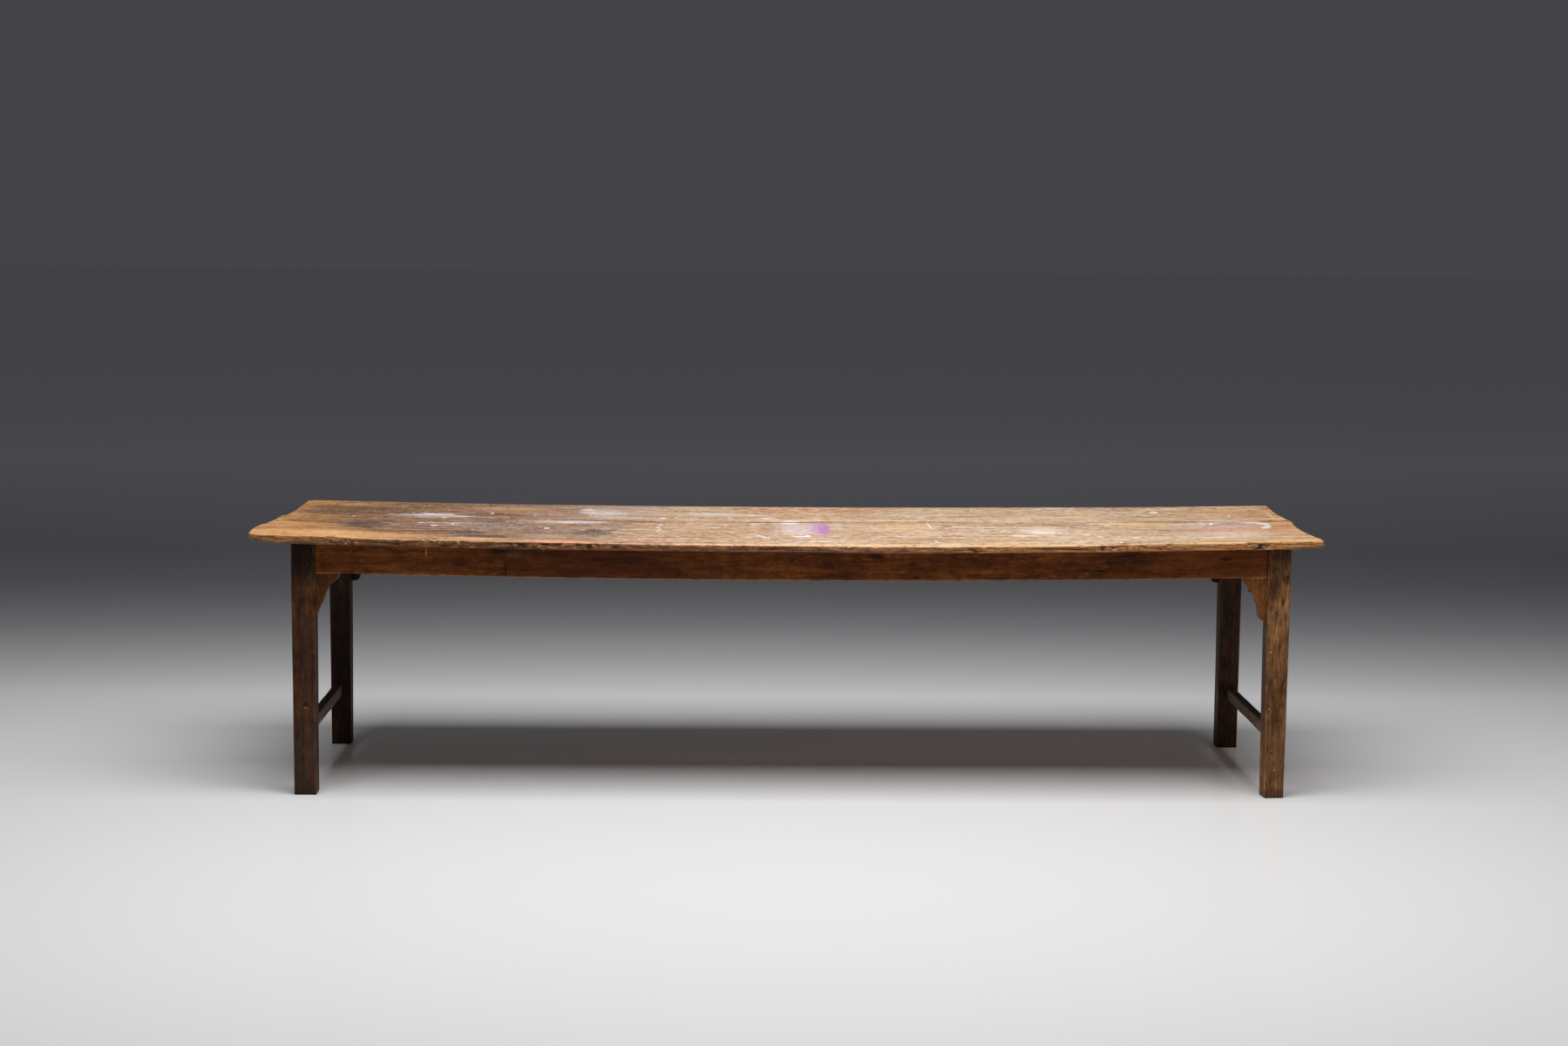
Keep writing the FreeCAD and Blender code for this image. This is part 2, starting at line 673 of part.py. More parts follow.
table = [make_top_board(face) for face in faces]
table += [make_batten(name, place) for name, place in batten_places.items()]
table += [make_long_apron(face) for face in faces]
table += [make_end_apron(side) for side in sides]
table += [make_leg(face, side) for face in faces for side in sides]
table += [make_stretcher(side) for side in sides]
table += [make_bracket(face, side) for face in faces for side in sides]
table += [make_fastener_group(group) for group in dict.fromkeys(item["group"] for item in fasteners)]
doc.recompute()

for item in doc.Objects:
    if "Invalid" in item.State or "Error" in item.State:
        raise RuntimeError(f"{item.Name} did not build: {item.State}")
for piece in table:
    if piece.Shape.isNull() or not piece.Shape.isValid():
        raise RuntimeError(f"{piece.Label} has no valid shape")

os.makedirs("parts", exist_ok=True)
for piece in table:
    piece.Shape.exportStep(f"parts/{piece.Label}.step")
    print(f"{piece.Label}: {len(piece.Shape.Solids)} solids, {piece.Shape.Volume / 1000:.1f} cubic cm")
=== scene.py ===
import math
import random

import bmesh
import bpy
from mathutils import Matrix, Vector, noise


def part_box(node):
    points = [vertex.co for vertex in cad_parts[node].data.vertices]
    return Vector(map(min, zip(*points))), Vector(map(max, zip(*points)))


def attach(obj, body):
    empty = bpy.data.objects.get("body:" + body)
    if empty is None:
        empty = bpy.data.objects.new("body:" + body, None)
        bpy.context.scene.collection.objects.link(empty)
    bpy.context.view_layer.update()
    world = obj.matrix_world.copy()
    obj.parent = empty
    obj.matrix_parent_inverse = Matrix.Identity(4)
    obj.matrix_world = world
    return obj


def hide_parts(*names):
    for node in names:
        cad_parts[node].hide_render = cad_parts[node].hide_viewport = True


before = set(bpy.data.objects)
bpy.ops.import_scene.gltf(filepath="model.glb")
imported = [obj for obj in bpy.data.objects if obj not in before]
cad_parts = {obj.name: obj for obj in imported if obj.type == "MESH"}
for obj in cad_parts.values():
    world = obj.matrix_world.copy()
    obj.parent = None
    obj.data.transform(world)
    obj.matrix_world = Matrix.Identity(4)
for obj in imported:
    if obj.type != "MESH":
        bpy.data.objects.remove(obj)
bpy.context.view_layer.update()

scene = bpy.context.scene
scene.view_settings.view_transform = "Standard"
print("frame loaded,", len(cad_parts), "nodes")


# Small sums used everywhere

def tint(r, g, b):  # a colour as it shows on screen, 0 to 255
    parts = [c / 255 for c in (r, g, b)]
    parts = [((c + 0.055) / 1.055) ** 2.4 if c > 0.04 else c / 12.92 for c in parts]
    return (*parts, 1.0)


def limit(value, low=0.0, high=1.0):
    return max(low, min(high, value))


def ease(low, high, value):  # smooth step from 0 at low to 1 at high
    t = limit((value - low) / (high - low))
    return t * t * (3 - 2 * t)


def grainAt(x, y, z, fx, fy, fz, seed=0.0):  # noise from -1 to 1, stretched along the axes
    return noise.noise(Vector((x * fx + seed, y * fy + seed * 1.7, z * fz - seed * 0.6)))


def follow(points, at):  # smooth runs between (place, value) pairs, ends held
    if at <= points[0][0]:
        return points[0][1]
    for (a, va), (b, vb) in zip(points, points[1:]):
        if at <= b:
            return va + (vb - va) * ease(a, b, at)
    return points[-1][1]


# Camera at the photograph's angle

photoCamera = {
    "place": (-0.19568, -8.27535, 1.71026),
    "yaw": 0.02147,
    "pitch": 0.11561,
    "roll": 0.00829,
    "lens": 63.438, "sensor": 36.0,  # mm
    "farClip": 200.0,
}


def makeCamera(spec):
    yaw, pitch, roll = spec["yaw"], spec["pitch"], spec["roll"]
    ahead = Vector((math.sin(yaw) * math.cos(pitch), math.cos(yaw) * math.cos(pitch), -math.sin(pitch)))
    right = Vector((math.cos(yaw), -math.sin(yaw), 0))
    up = right.cross(ahead)
    sideways = right * math.cos(roll) + up * math.sin(roll)
    upward = up * math.cos(roll) - right * math.sin(roll)
    lens = bpy.data.cameras.new("photoCamera")
    lens.sensor_fit = "HORIZONTAL"
    lens.sensor_width = spec["sensor"]
    lens.lens = spec["lens"]
    lens.clip_end = spec["farClip"]
    camera = bpy.data.objects.new("photoCamera", lens)
    scene.collection.objects.link(camera)
    turn = Matrix((sideways, upward, -ahead)).transposed()
    camera.matrix_world = Matrix.Translation(spec["place"]) @ turn.to_4x4()
    scene.camera = camera


makeCamera(photoCamera)


# Node helpers for the finishes

def addNode(tree, kind, inputs=None, **settings):
    node = tree.nodes.new(kind)
    for key, value in settings.items():
        setattr(node, key, value)
    for key, value in (inputs or {}).items():
        if isinstance(value, bpy.types.NodeSocket):
            tree.links.new(value, node.inputs[key])
        else:
            node.inputs[key].default_value = value
    return node


def objectPlace(tree):
    return addNode(tree, "ShaderNodeTexCoord").outputs["Object"]


def calc(tree, operation, a, b=0.0, c=0.0, clamp=False):
    node = addNode(tree, "ShaderNodeMath", {0: a, 1: b, 2: c}, operation=operation, use_clamp=clamp)
    return node.outputs[0]


def placed(tree, vector, at=(0, 0, 0), turn=(0, 0, 0), size=(1, 1, 1)):
    sockets = {"Vector": vector, "Location": at, "Rotation": turn, "Scale": size}
    return addNode(tree, "ShaderNodeMapping", sockets, vector_type="TEXTURE").outputs[0]


def cloud(tree, vector, detail=4.0, rough=0.55, twist=0.0):
    sockets = {"Vector": vector, "Scale": 1.0, "Detail": detail, "Roughness": rough, "Distortion": twist}
    return addNode(tree, "ShaderNodeTexNoise", sockets).outputs["Fac"]


def fade(tree, value, low, high, start=0.0, end=1.0):
    sockets = {"Value": value, "From Min": low, "From Max": high, "To Min": start, "To Max": end}
    return addNode(tree, "ShaderNodeMapRange", sockets, interpolation_type="SMOOTHSTEP").outputs[0]


def blend(tree, fac, a, b, mode="MIX"):
    node = addNode(tree, "ShaderNodeMix", {0: fac, 6: a, 7: b}, data_type="RGBA", blend_type=mode)
    return node.outputs[2]


def wash(tree, colour, fac, low, high, strength, shade, mode="MIX"):  # lays a shade over part of a pattern
    return blend(tree, fade(tree, fac, low, high, 0.0, strength), colour, tint(*shade), mode)


def grainLayers(tree, place, table):  # one noise for each row: shift, size, detail, roughness, twist
    layers = {}
    for name, (shift, size, *kind) in table.items():
        layers[name] = cloud(tree, placed(tree, place, at=shift, size=size), *kind)
    return layers


def ramp(tree, fac, stops):
    node = addNode(tree, "ShaderNodeValToRGB", {0: fac})
    band = node.color_ramp
    while len(band.elements) < len(stops):
        band.elements.new(0.5)
    for element, (place, colour) in zip(band.elements, stops):
        element.position = place
        element.color = tint(*colour)
    return node.outputs[0]


def attribute(tree, name):
    return addNode(tree, "ShaderNodeAttribute", attribute_name=name).outputs["Fac"]


def startFinish(name):
    finish = bpy.data.materials.new(name)
    finish.use_nodes = True
    finish.node_tree.nodes.clear()
    return finish, finish.node_tree


def endFinish(tree, colour, rough, height, bump, **fixed):
    sockets = {"Base Color": colour, "Roughness": rough}
    lump = addNode(tree, "ShaderNodeBump", {"Height": height, "Strength": bump[0], "Distance": bump[1]})
    sockets["Normal"] = lump.outputs[0]
    shader = addNode(tree, "ShaderNodeBsdfPrincipled", sockets)
    for key, value in fixed.items():
        shader.inputs[key.replace("_", " ")].default_value = value
    addNode(tree, "ShaderNodeOutputMaterial", {"Surface": shader.outputs[0]})


def alongGrain(tree, axis):  # object places, turned so that the grain runs along the first axis
    place = objectPlace(tree)
    if axis == "X":
        return place
    parts = addNode(tree, "ShaderNodeSeparateXYZ", {0: place}).outputs
    order = {"Y": (1, 0, 2), "Z": (2, 0, 1)}[axis]
    return addNode(tree, "ShaderNodeCombineXYZ", {i: parts[k] for i, k in enumerate(order)}).outputs[0]


def layMarks(tree, colour, place, marks, ragged, broken, soft=0.8):
    # each mark: centre, half sizes, colour, strength, how far the grain breaks it, maybe a turn in degrees
    rims, gaps = {}, {}
    for rub in sorted({mark[4] for mark in marks}):
        rims[rub] = calc(tree, "MULTIPLY_ADD", ragged, -rub, -1.0)
        gaps[rub] = calc(tree, "MULTIPLY_ADD", broken, rub, 1 - rub, clamp=True)
    for at, half, shade, strength, rub, *turn in marks:
        angle = math.radians(turn[0] if turn else 0)
        spot = placed(tree, place, at=at, turn=(0, 0, angle), size=[2 * h for h in half])
        ball = addNode(tree, "ShaderNodeTexGradient", {0: spot}, gradient_type="SPHERICAL").outputs[1]
        near = calc(tree, "MULTIPLY_ADD", ball, 2.0, rims[rub])  # 1 at the middle, 0 at the rim
        mask = fade(tree, near, -0.2 * soft, 0.8 * soft, 0.0, strength)
        mask = calc(tree, "MULTIPLY", mask, gaps[rub])
        colour = blend(tree, mask, colour, tint(*shade))
    return colour


# Floor, world and lamps

studio = {
    "floorHalf": 60.0,
    "floorReach": (-4.0, 12.0),  # the floor's colours run from front to back between these places
    # floor colours: pale in front, painted shade deepening towards the back, painted lighter again far back
    # where the lamp's light has fallen off
    "floorPaintedShadeRun": [(0.0, (246, 246, 246)), (0.325, (242, 242, 242)), (0.37, (212, 212, 213)),
                 (0.424, (174, 174, 176)), (0.47, (150, 150, 153)), (0.51, (134, 134, 138)),
                 (0.58, (128, 128, 133)), (0.88, (202, 202, 209))],
    "floorRough": 0.18, "floorGloss": 0.2,
    "backColour": (67, 67, 72),  # what the camera sees beyond the floor
    "fill": 0.088,  # even light from all round
    "boxPlace": (0.0, -1.5, 4.3),
    "boxAim": (0.0, 0.1, 0.4),
    "boxSize": (5.2, 2.6),
    "boxPower": 262.0,
}


def makeStudio(spec):
    bm = bmesh.new()
    bmesh.ops.create_grid(bm, x_segments=1, y_segments=1, size=spec["floorHalf"])
    mesh = bpy.data.meshes.new("studioFloor")
    bm.to_mesh(mesh)
    bm.free()
    floor = bpy.data.objects.new("studioFloor", mesh)
    scene.collection.objects.link(floor)
    paper, tree = startFinish("paleFloor")
    place = objectPlace(tree)
    depth = addNode(tree, "ShaderNodeSeparateXYZ", {0: place}).outputs[1]
    front, back = spec["floorReach"]
    span = {"Value": depth, "From Min": front, "From Max": back}
    reach = addNode(tree, "ShaderNodeMapRange", span).outputs[0]
    shader = addNode(tree, "ShaderNodeBsdfPrincipled", {
        "Base Color": ramp(tree, reach, spec["floorPaintedShadeRun"]),
        "Roughness": spec["floorRough"], "Specular IOR Level": spec["floorGloss"]})
    addNode(tree, "ShaderNodeOutputMaterial", {"Surface": shader.outputs[0]})
    mesh.materials.append(paper)

    world = bpy.data.worlds.new("studioWorld")
    scene.world = world
    world.use_nodes = True
    tree = world.node_tree
    tree.nodes.clear()
    light = addNode(tree, "ShaderNodeBackground", {"Color": (1, 1, 1, 1), "Strength": spec["fill"]})
    seen = addNode(tree, "ShaderNodeBackground", {"Color": tint(*spec["backColour"])})
    rays = addNode(tree, "ShaderNodeLightPath").outputs
    direct = calc(tree, "ADD", rays["Is Camera Ray"], rays["Is Glossy Ray"])
    direct = calc(tree, "ADD", direct, rays["Is Transmission Ray"], clamp=True)
    mix = addNode(tree, "ShaderNodeMixShader", {0: direct, 1: light.outputs[0], 2: seen.outputs[0]})
    addNode(tree, "ShaderNodeOutputWorld", {0: mix.outputs[0]})

    lamp = bpy.data.lights.new("softBox", "AREA")
    lamp.shape = "RECTANGLE"
    lamp.size, lamp.size_y = spec["boxSize"]
    lamp.energy = spec["boxPower"]
    box = bpy.data.objects.new("softBox", lamp)
    scene.collection.objects.link(box)
    box.location = spec["boxPlace"]
    aim = Vector(spec["boxAim"]) - Vector(spec["boxPlace"])
    box.rotation_euler = aim.to_track_quat("-Z", "Y").to_euler()


makeStudio(studio)
print("camera, floor and lamps in place")


# Old brown timber of the frame

timberGrain = {  # shift, size along and across the grain, detail, roughness, twist
    "patches": ((0, 0, 0), (0.20, 0.07, 0.07), 4, 0.6),
    "bands": ((3, 1, 2), (0.24, 0.018, 0.018), 5, 0.62, 0.5),
    "mottle": ((1, 4, 7), (0.032, 0.020, 0.020), 4, 0.6),
    "fibres": ((7, 5, 3), (0.05, 0.0034, 0.0034), 4, 0.65),
    "specks": ((4, 8, 6), (0.020, 0.007, 0.007), 3, 0.6),
    "pores": ((2, 9, 4), (0.025, 0.0013, 0.0013), 2, 0.5),
    "rings": ((5, 6, 1), (0.16, 0.011, 0.011), 3, 0.55, 0.3),
    "drag": ((6, 2, 9), (0.045, 0.0055, 0.0055), 3, 0.6),
}
timberTone = {"patches": 0.32, "bands": 0.32, "mottle": 0.28, "fibres": 0.14}  # share of each in the tone


def brownTimber(name, look):
    finish, tree = startFinish(name)
    place = objectPlace(tree)
    grain = grainLayers(tree, alongGrain(tree, look["axis"]), timberGrain)
    mottle, specks = grain["mottle"], grain["specks"]
    dark, pale = look["poreColour"], look["wornColour"]
    tone = 0.0
    for layer, share in timberTone.items():
        tone = calc(tree, "MULTIPLY_ADD", grain[layer], share, tone)
    colour = ramp(tree, tone, look["ramp"])
    line = calc(tree, "ABSOLUTE", calc(tree, "SUBTRACT", grain["rings"], 0.5))
    colour = wash(tree, colour, line, 0.026, 0.004, look["lines"], dark)
    colour = wash(tree, colour, grain["pores"], 0.56, 0.68, look["pores"], dark)
    colour = wash(tree, colour, specks, 0.60, 0.70, look["specks"], dark)
    colour = wash(tree, colour, specks, 0.34, 0.24, look["specks"], pale)
    ragged = calc(tree, "MULTIPLY_ADD", specks, 1.2, calc(tree, "MULTIPLY_ADD", mottle, 1.4, -1.3))
    drag = calc(tree, "MULTIPLY_ADD", grain["drag"], 0.6, calc(tree, "MULTIPLY", mottle, 0.4))
    broken = fade(tree, drag, 0.42, 0.52, 0.1, 1.0)
    colour = layMarks(tree, colour, place, look["marks"], ragged, broken)
    worn = calc(tree, "MULTIPLY", attribute(tree, "arris"), fade(tree, mottle, 0.36, 0.58, 0.1, 1.0))
    worn = calc(tree, "MULTIPLY", worn, look["worn"])
    colour = blend(tree, worn, colour, tint(*pale))
    grimeAndShade = calc(tree, "MULTIPLY", attribute(tree, "grimeAndShade"), 0.85)
    colour = blend(tree, grimeAndShade, colour, tint(*look["grimeAndShadeColour"]))
    rough = fade(tree, grain["bands"], 0.3, 0.7, *look["rough"])
    height = calc(tree, "MULTIPLY_ADD", grain["pores"], -0.5, grain["fibres"])
    endFinish(tree, colour, rough, height, (0.35, 0.0012), Specular_IOR_Level=0.10)
    return finish


# Shared shape of the long timbers: one slow arc from end to end

tableSag = {"half": 1.533, "height": 0.761, "drop": 0.019}
sagRadius = tableSag["half"] ** 2 / (2 * tableSag["drop"]) + tableSag["drop"] / 2
sagCentre = tableSag["height"] - tableSag["drop"] + sagRadius


def sagLevel(x, below):  # height of a line that runs this far below the top's face
    return sagCentre - math.sqrt((sagRadius + below) ** 2 - x * x)


def cutBlock(cuts):  # a block from 0 to 1 on each axis, cut into a grid
    bm = bmesh.new()
    bmesh.ops.create_cube(bm, size=1.0, matrix=Matrix.Translation((0.5, 0.5, 0.5)))
    for axis, count in enumerate(cuts):
        run = [e for e in bm.edges if abs(e.verts[0].co[axis] - e.verts[1].co[axis]) > 1e-4]
        bmesh.ops.subdivide_edges(bm, edges=run, cuts=count, use_grid_fill=True)
    return bm


def sliceAll(bm, at, way):  # cuts every face along a plane
    bmesh.ops.bisect_plane(bm, geom=bm.verts[:] + bm.edges[:] + bm.faces[:], plane_co=at, plane_no=way)


def crowd(t, share):  # moves grid lines towards both ends of a side
    return t - share * math.sin(2 * math.pi * t) / (2 * math.pi)


def roundArris(point, half, radius):  # block surface to rounded block: place, outward way, arris share
    core = Vector([limit(point[i], radius - half[i], half[i] - radius) for i in range(3)])
    out = point - core
    if out.length < 1e-9:
        return point, Vector((0, 0, 1)), 0.0
    way = out.normalized()
    flat = max(abs(way.x), abs(way.y), abs(way.z))
    return core + way * radius, way, ease(0.99, 0.75, flat)


def finishPiece(bm, name, finish, nodes):
    for face in bm.faces:
        face.smooth = True
    mesh = bpy.data.meshes.new(name)
    bm.to_mesh(mesh)
    bm.free()
    mesh.materials.append(finish)
    piece = bpy.data.objects.new(name, mesh)
    scene.collection.objects.link(piece)
    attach(piece, "root")
    if nodes:
        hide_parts(*nodes)


def wornTimber(node, low, high, wear, finish, slot, shape=None):
    # one squared timber between two corners, arrises rubbed, faces planed by hand
    low, high = Vector(low), Vector(high)
    half = (high - low) / 2
    middle = (high + low) / 2
    long = max(range(3), key=lambda i: half[i])
    cuts = [wear["across"]] * 3
    cuts[long] = int(half[long] * 2 / wear["step"])
    bm = cutBlock(cuts)
    arris = bm.verts.layers.float.new("arris")
    grimeAndShade = bm.verts.layers.float.new("grimeAndShade")
    seed = wear["seed"]
    gather, stretch = [0.85] * 3, [60.0] * 3  # grid lines drawn to the arrises, fine grain across
    gather[long], stretch[long] = 0.25, 5.0
    for vert in bm.verts:
        shares = [crowd(t, share) for t, share in zip(vert.co, gather)]
        point = Vector([(t * 2 - 1) * h for t, h in zip(shares, half)])
        spot = point + middle
        slow = grainAt(*spot, 9, 9, 9, seed)
        radius = wear["arris"] * (1 + 0.7 * slow)
        point, way, share = roundArris(point, half, radius)
        rub = 0.5 * grainAt(*spot, 6, 6, 6, seed + 3) + 0.5 * grainAt(*spot, *stretch, seed + 5)
        seam = ease(0.15, 0.5, abs(way[long]))  # the ends meet other timbers
        chip = max(0.0, grainAt(*spot, 34, 34, 34, seed + 9) - wear["chipFrom"]) * share * (1 - seam)
        point += way * (wear["plane"] * rub - wear["chip"] * chip)
        vert[arris] = limit(share * (1 - seam))
        vert[grimeAndShade] = limit(chip * 2.0 + 0.8 * seam)
        place = point + middle
        vert.co = shape(place, spot) if shape else place
    finishPiece(bm, node + "_worn", finish, [node])


# Legs, tapering from under the apron to the foot

legWear = {"across": 10, "step": 0.009, "arris": 0.0022, "plane": 0.0007, "chip": 0.007, "chipFrom": 0.26}
legTaper = {
    "knee": 0.635,
    # by corner: foot width as a share of the head, turn of the foot in radians
    "front_left": (0.955, 0.0), "front_right": (0.865, 0.09),
    "back_left": (0.91, 0.0), "back_right": (0.955, 0.0),
}
legLook = {
    "axis": "Z",
    "ramp": [(0.36, (24, 12, 7)), (0.48, (50, 28, 17)), (0.58, (72, 44, 27)), (0.70, (104, 68, 44))],
    "pores": 0.5, "poreColour": (16, 9, 6), "specks": 0.4, "lines": 0.3,
    "marks": [
        ((-1.402, -0.4215, 0.566), (0.007, 0.03, 0.012), (14, 8, 5), 0.65, 1.0),
        ((-1.402, -0.4215, 0.69), (0.06, 0.08, 0.09), (22, 11, 7), 0.9, 0.4),
        ((-1.397, -0.4215, 0.264), (0.01, 0.03, 0.007), (8, 5, 4), 0.95, 0.9),
        ((-1.399, -0.4215, 0.255), (0.008, 0.03, 0.004), (150, 112, 80), 0.7, 1.0),
        ((-1.41, -0.4215, 0.42), (0.02, 0.03, 0.1), (40, 22, 13), 0.6, 1.0),
        ((-1.402, -0.4, 0.1), (0.06, 0.08, 0.16), (66, 51, 42), 0.5, 0.8),
        ((-1.402, -0.4, 0.01), (0.06, 0.08, 0.03), (40, 30, 22), 0.6, 0.8),
    ],
    "worn": 0.75, "wornColour": (124, 88, 60),
    "grimeAndShadeColour": (18, 11, 8),
    "rough": (0.45, 0.65),
}
paleLegLook = {
    **legLook,
    "ramp": [(0.36, (54, 33, 18)), (0.47, (104, 69, 41)), (0.57, (140, 97, 60)), (0.68, (174, 128, 84))],
    "poreColour": (36, 22, 13), "specks": 0.25, "lines": 0.7,
    "marks": [
        ((1.402, -0.4215, 0.72), (0.06, 0.06, 0.034), (40, 24, 14), 0.85, 0.6),
        ((1.392, -0.4215, 0.66), (0.045, 0.05, 0.07), (70, 45, 26), 0.6, 1.0),
        ((1.424, -0.4215, 0.641), (0.012, 0.03, 0.02), (30, 18, 10), 0.85, 0.7),
        ((1.39, -0.4215, 0.612), (0.02, 0.03, 0.04), (50, 31, 18), 0.75, 1.0),
        ((1.414, -0.4215, 0.576), (0.006, 0.03, 0.018), (26, 15, 9), 0.9, 0.7),
        ((1.395, -0.4215, 0.539), (0.006, 0.03, 0.016), (26, 15, 9), 0.9, 0.7),
        ((1.424, -0.4215, 0.5), (0.0024, 0.03, 0.06), (30, 18, 11), 0.9, 0.8),
        ((1.408, -0.4215, 0.45), (0.0022, 0.03, 0.07), (34, 20, 12), 0.85, 0.8),
        ((1.39, -0.4215, 0.42), (0.0024, 0.03, 0.05), (34, 20, 12), 0.85, 0.8),
        ((1.42, -0.4215, 0.32), (0.014, 0.03, 0.045), (50, 32, 20), 0.7, 1.0),
        ((1.4, -0.4215, 0.24), (0.018, 0.03, 0.06), (54, 35, 22), 0.65, 1.0),
        ((1.393, -0.4215, 0.133), (0.007, 0.03, 0.005), (24, 15, 10), 0.9, 0.6),
        ((1.402, -0.4215, 0.13), (0.06, 0.06, 0.11), (76, 53, 37), 0.4, 0.7),
        ((1.402, -0.4215, 0.01), (0.05, 0.06, 0.025), (50, 34, 24), 0.7, 0.8),
        ((1.383, -0.4215, 0.43), (0.0018, 0.03, 0.0018), (236, 214, 184), 1.0, 0.1),
        ((1.382, -0.4215, 0.264), (0.0018, 0.03, 0.0018), (236, 214, 184), 1.0, 0.1),
        ((1.403, -0.4215, 0.083), (0.0018, 0.03, 0.0018), (236, 214, 184), 1.0, 0.1),
        ((1.369, -0.3885, 0.36), (0.008, 0.045, 0.33), (50, 40, 35), 0.8, 0.4),  # inner side, in shade
    ],
    "wornColour": (172, 130, 90),
}
# back left leg: dark brown timber with painted shade laid into its colours
backLeftPaintedShadeLook = {
    **legLook,
    "ramp": [(0.36, (17, 10, 7)), (0.48, (37, 23, 16)), (0.58, (56, 36, 25)), (0.70, (86, 60, 42))],
    "poreColour": (10, 6, 5), "marks": [],
    "wornColour": (96, 70, 52),
}
# back right leg: painted shade laid into its colours, less than on the back left
backRightPaintedShadeLook = {
    **backLeftPaintedShadeLook,
    "ramp": [(0.36, (23, 14, 9)), (0.48, (54, 35, 24)), (0.58, (80, 54, 36)), (0.70, (114, 82, 56))],
}
legFinishes = {  # by corner
    "front_left": ("darkLegTimber", legLook), "front_right": ("paleLegTimber", paleLegLook),
    "back_left": ("backLeftPaintedShadeTimber", backLeftPaintedShadeLook), "back_right": ("backRightPaintedShadeTimber", backRightPaintedShadeLook),
}


def makeLegs():
    for seed, (corner, finishing) in enumerate(legFinishes.items()):
        low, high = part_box("leg_" + corner)
        middle = (low + high) / 2
        foot, wind = legTaper[corner]

        def taper(place, spot):
            down = 1 - limit(spot.z / legTaper["knee"])
            share = 1 + (foot - 1) * down
            away = Matrix.Rotation(wind * down, 3, "Z") @ (place - middle)
            return Vector((middle.x + away.x * share, middle.y + away.y * share, max(place.z, 0.0)))

        wear = {**legWear, "seed": seed * 11.0}
        wornTimber("leg_" + corner, low, high, wear, brownTimber(*finishing), "leg_wood", taper)


makeLegs()
print("legs made")


# Aprons: the long ones follow the sag, the end ones are straight

apronWear = {"across": 8, "step": 0.010, "arris": 0.0022, "plane": 0.0008, "chip": 0.005, "chipFrom": 0.3}
longApron = {"top": 0.02405, "deep": 0.086, "seat": 0.001}
apronLook = {
    "axis": "X",
    "ramp": [(0.36, (39, 16, 5)), (0.46, (72, 35, 12)), (0.54, (101, 52, 18)), (0.64, (134, 76, 30))],
    "pores": 0.45, "poreColour": (26, 11, 4), "specks": 0.35, "lines": 0.4,
    "marks": [
        ((-0.823, -0.4175, 0.658), (0.0035, 0.03, 0.03), (16, 8, 4), 0.95, 0.4),
        ((-0.798, -0.4175, 0.698), (0.03, 0.03, 0.012), (112, 90, 76), 0.45, 1.4),
        ((-0.843, -0.4175, 0.712), (0.03, 0.03, 0.02), (22, 11, 6), 0.8, 1.0),
        ((-1.184, -0.4175, 0.7), (0.05, 0.03, 0.022), (118, 70, 32), 0.5, 1.0),
        ((-1.05, -0.4175, 0.705), (0.0025, 0.03, 0.014), (190, 140, 92), 0.8, 0.2),
        ((-0.5, -0.4175, 0.69), (0.08, 0.03, 0.03), (34, 16, 8), 0.6, 1.0),
        ((-0.52, -0.4175, 0.68), (0.42, 0.03, 0.12), (58, 28, 14), 0.55, 0.6),
        ((1.22, -0.4175, 0.68), (0.3, 0.03, 0.12), (112, 57, 20), 0.4, 0.6),
        ((0.883, -0.4175, 0.664), (0.016, 0.03, 0.0028), (12, 6, 4), 0.95, 0.2),
        ((0.354, -0.4175, 0.641), (0.02, 0.03, 0.004), (12, 6, 4), 0.8, 0.4),
        ((0.238, -0.4175, 0.703), (0.03, 0.03, 0.012), (24, 12, 6), 0.8, 0.8),
        ((0.346, -0.4175, 0.681), (0.022, 0.03, 0.014), (24, 12, 6), 0.7, 0.8),
        ((0.965, -0.4175, 0.7), (0.09, 0.03, 0.03), (30, 14, 7), 0.7, 1.0),
        ((0.64, -0.4175, 0.71), (0.09, 0.03, 0.02), (34, 17, 9), 0.6, 1.0),
        ((1.247, -0.4175, 0.701), (0.018, 0.03, 0.006), (18, 9, 5), 0.85, 0.5),
    ],
    "worn": 0.9, "wornColour": (176, 116, 60),
    "grimeAndShadeColour": (16, 8, 5),
    "rough": (0.48, 0.66),
}


def makeAprons():
    finish = brownTimber("apronTimber", apronLook)
    sideFinish = brownTimber("endApronTimber", {**apronLook, "axis": "Y", "marks": []})
    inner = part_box("leg_front_left")[1].x - longApron["seat"]
    for seed, side in enumerate(("front", "back")):
        low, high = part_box("apron_" + side)
        low.x, high.x = inner, -inner
        tall = high.z - low.z

        def bow(place, spot):
            share = (place.z - low.z) / tall
            place.z = sagLevel(place.x, longApron["top"] + longApron["deep"] * (1 - share))
            return place

        wear = {**apronWear, "seed": 40 + seed * 7.0}
        wornTimber("apron_" + side, low, high, wear, finish, "apron_wood", bow)
    for seed, side in enumerate(("left", "right")):
        low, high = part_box("apron_" + side)
        low.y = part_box("leg_front_" + side)[1].y - longApron["seat"]
        high.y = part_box("leg_back_" + side)[0].y + longApron["seat"]
        wear = {**apronWear, "seed": 60 + seed * 7.0}
        wornTimber("apron_" + side, low, high, wear, sideFinish, "apron_wood")


makeAprons()
print("aprons made")


# Low stretchers at the two ends

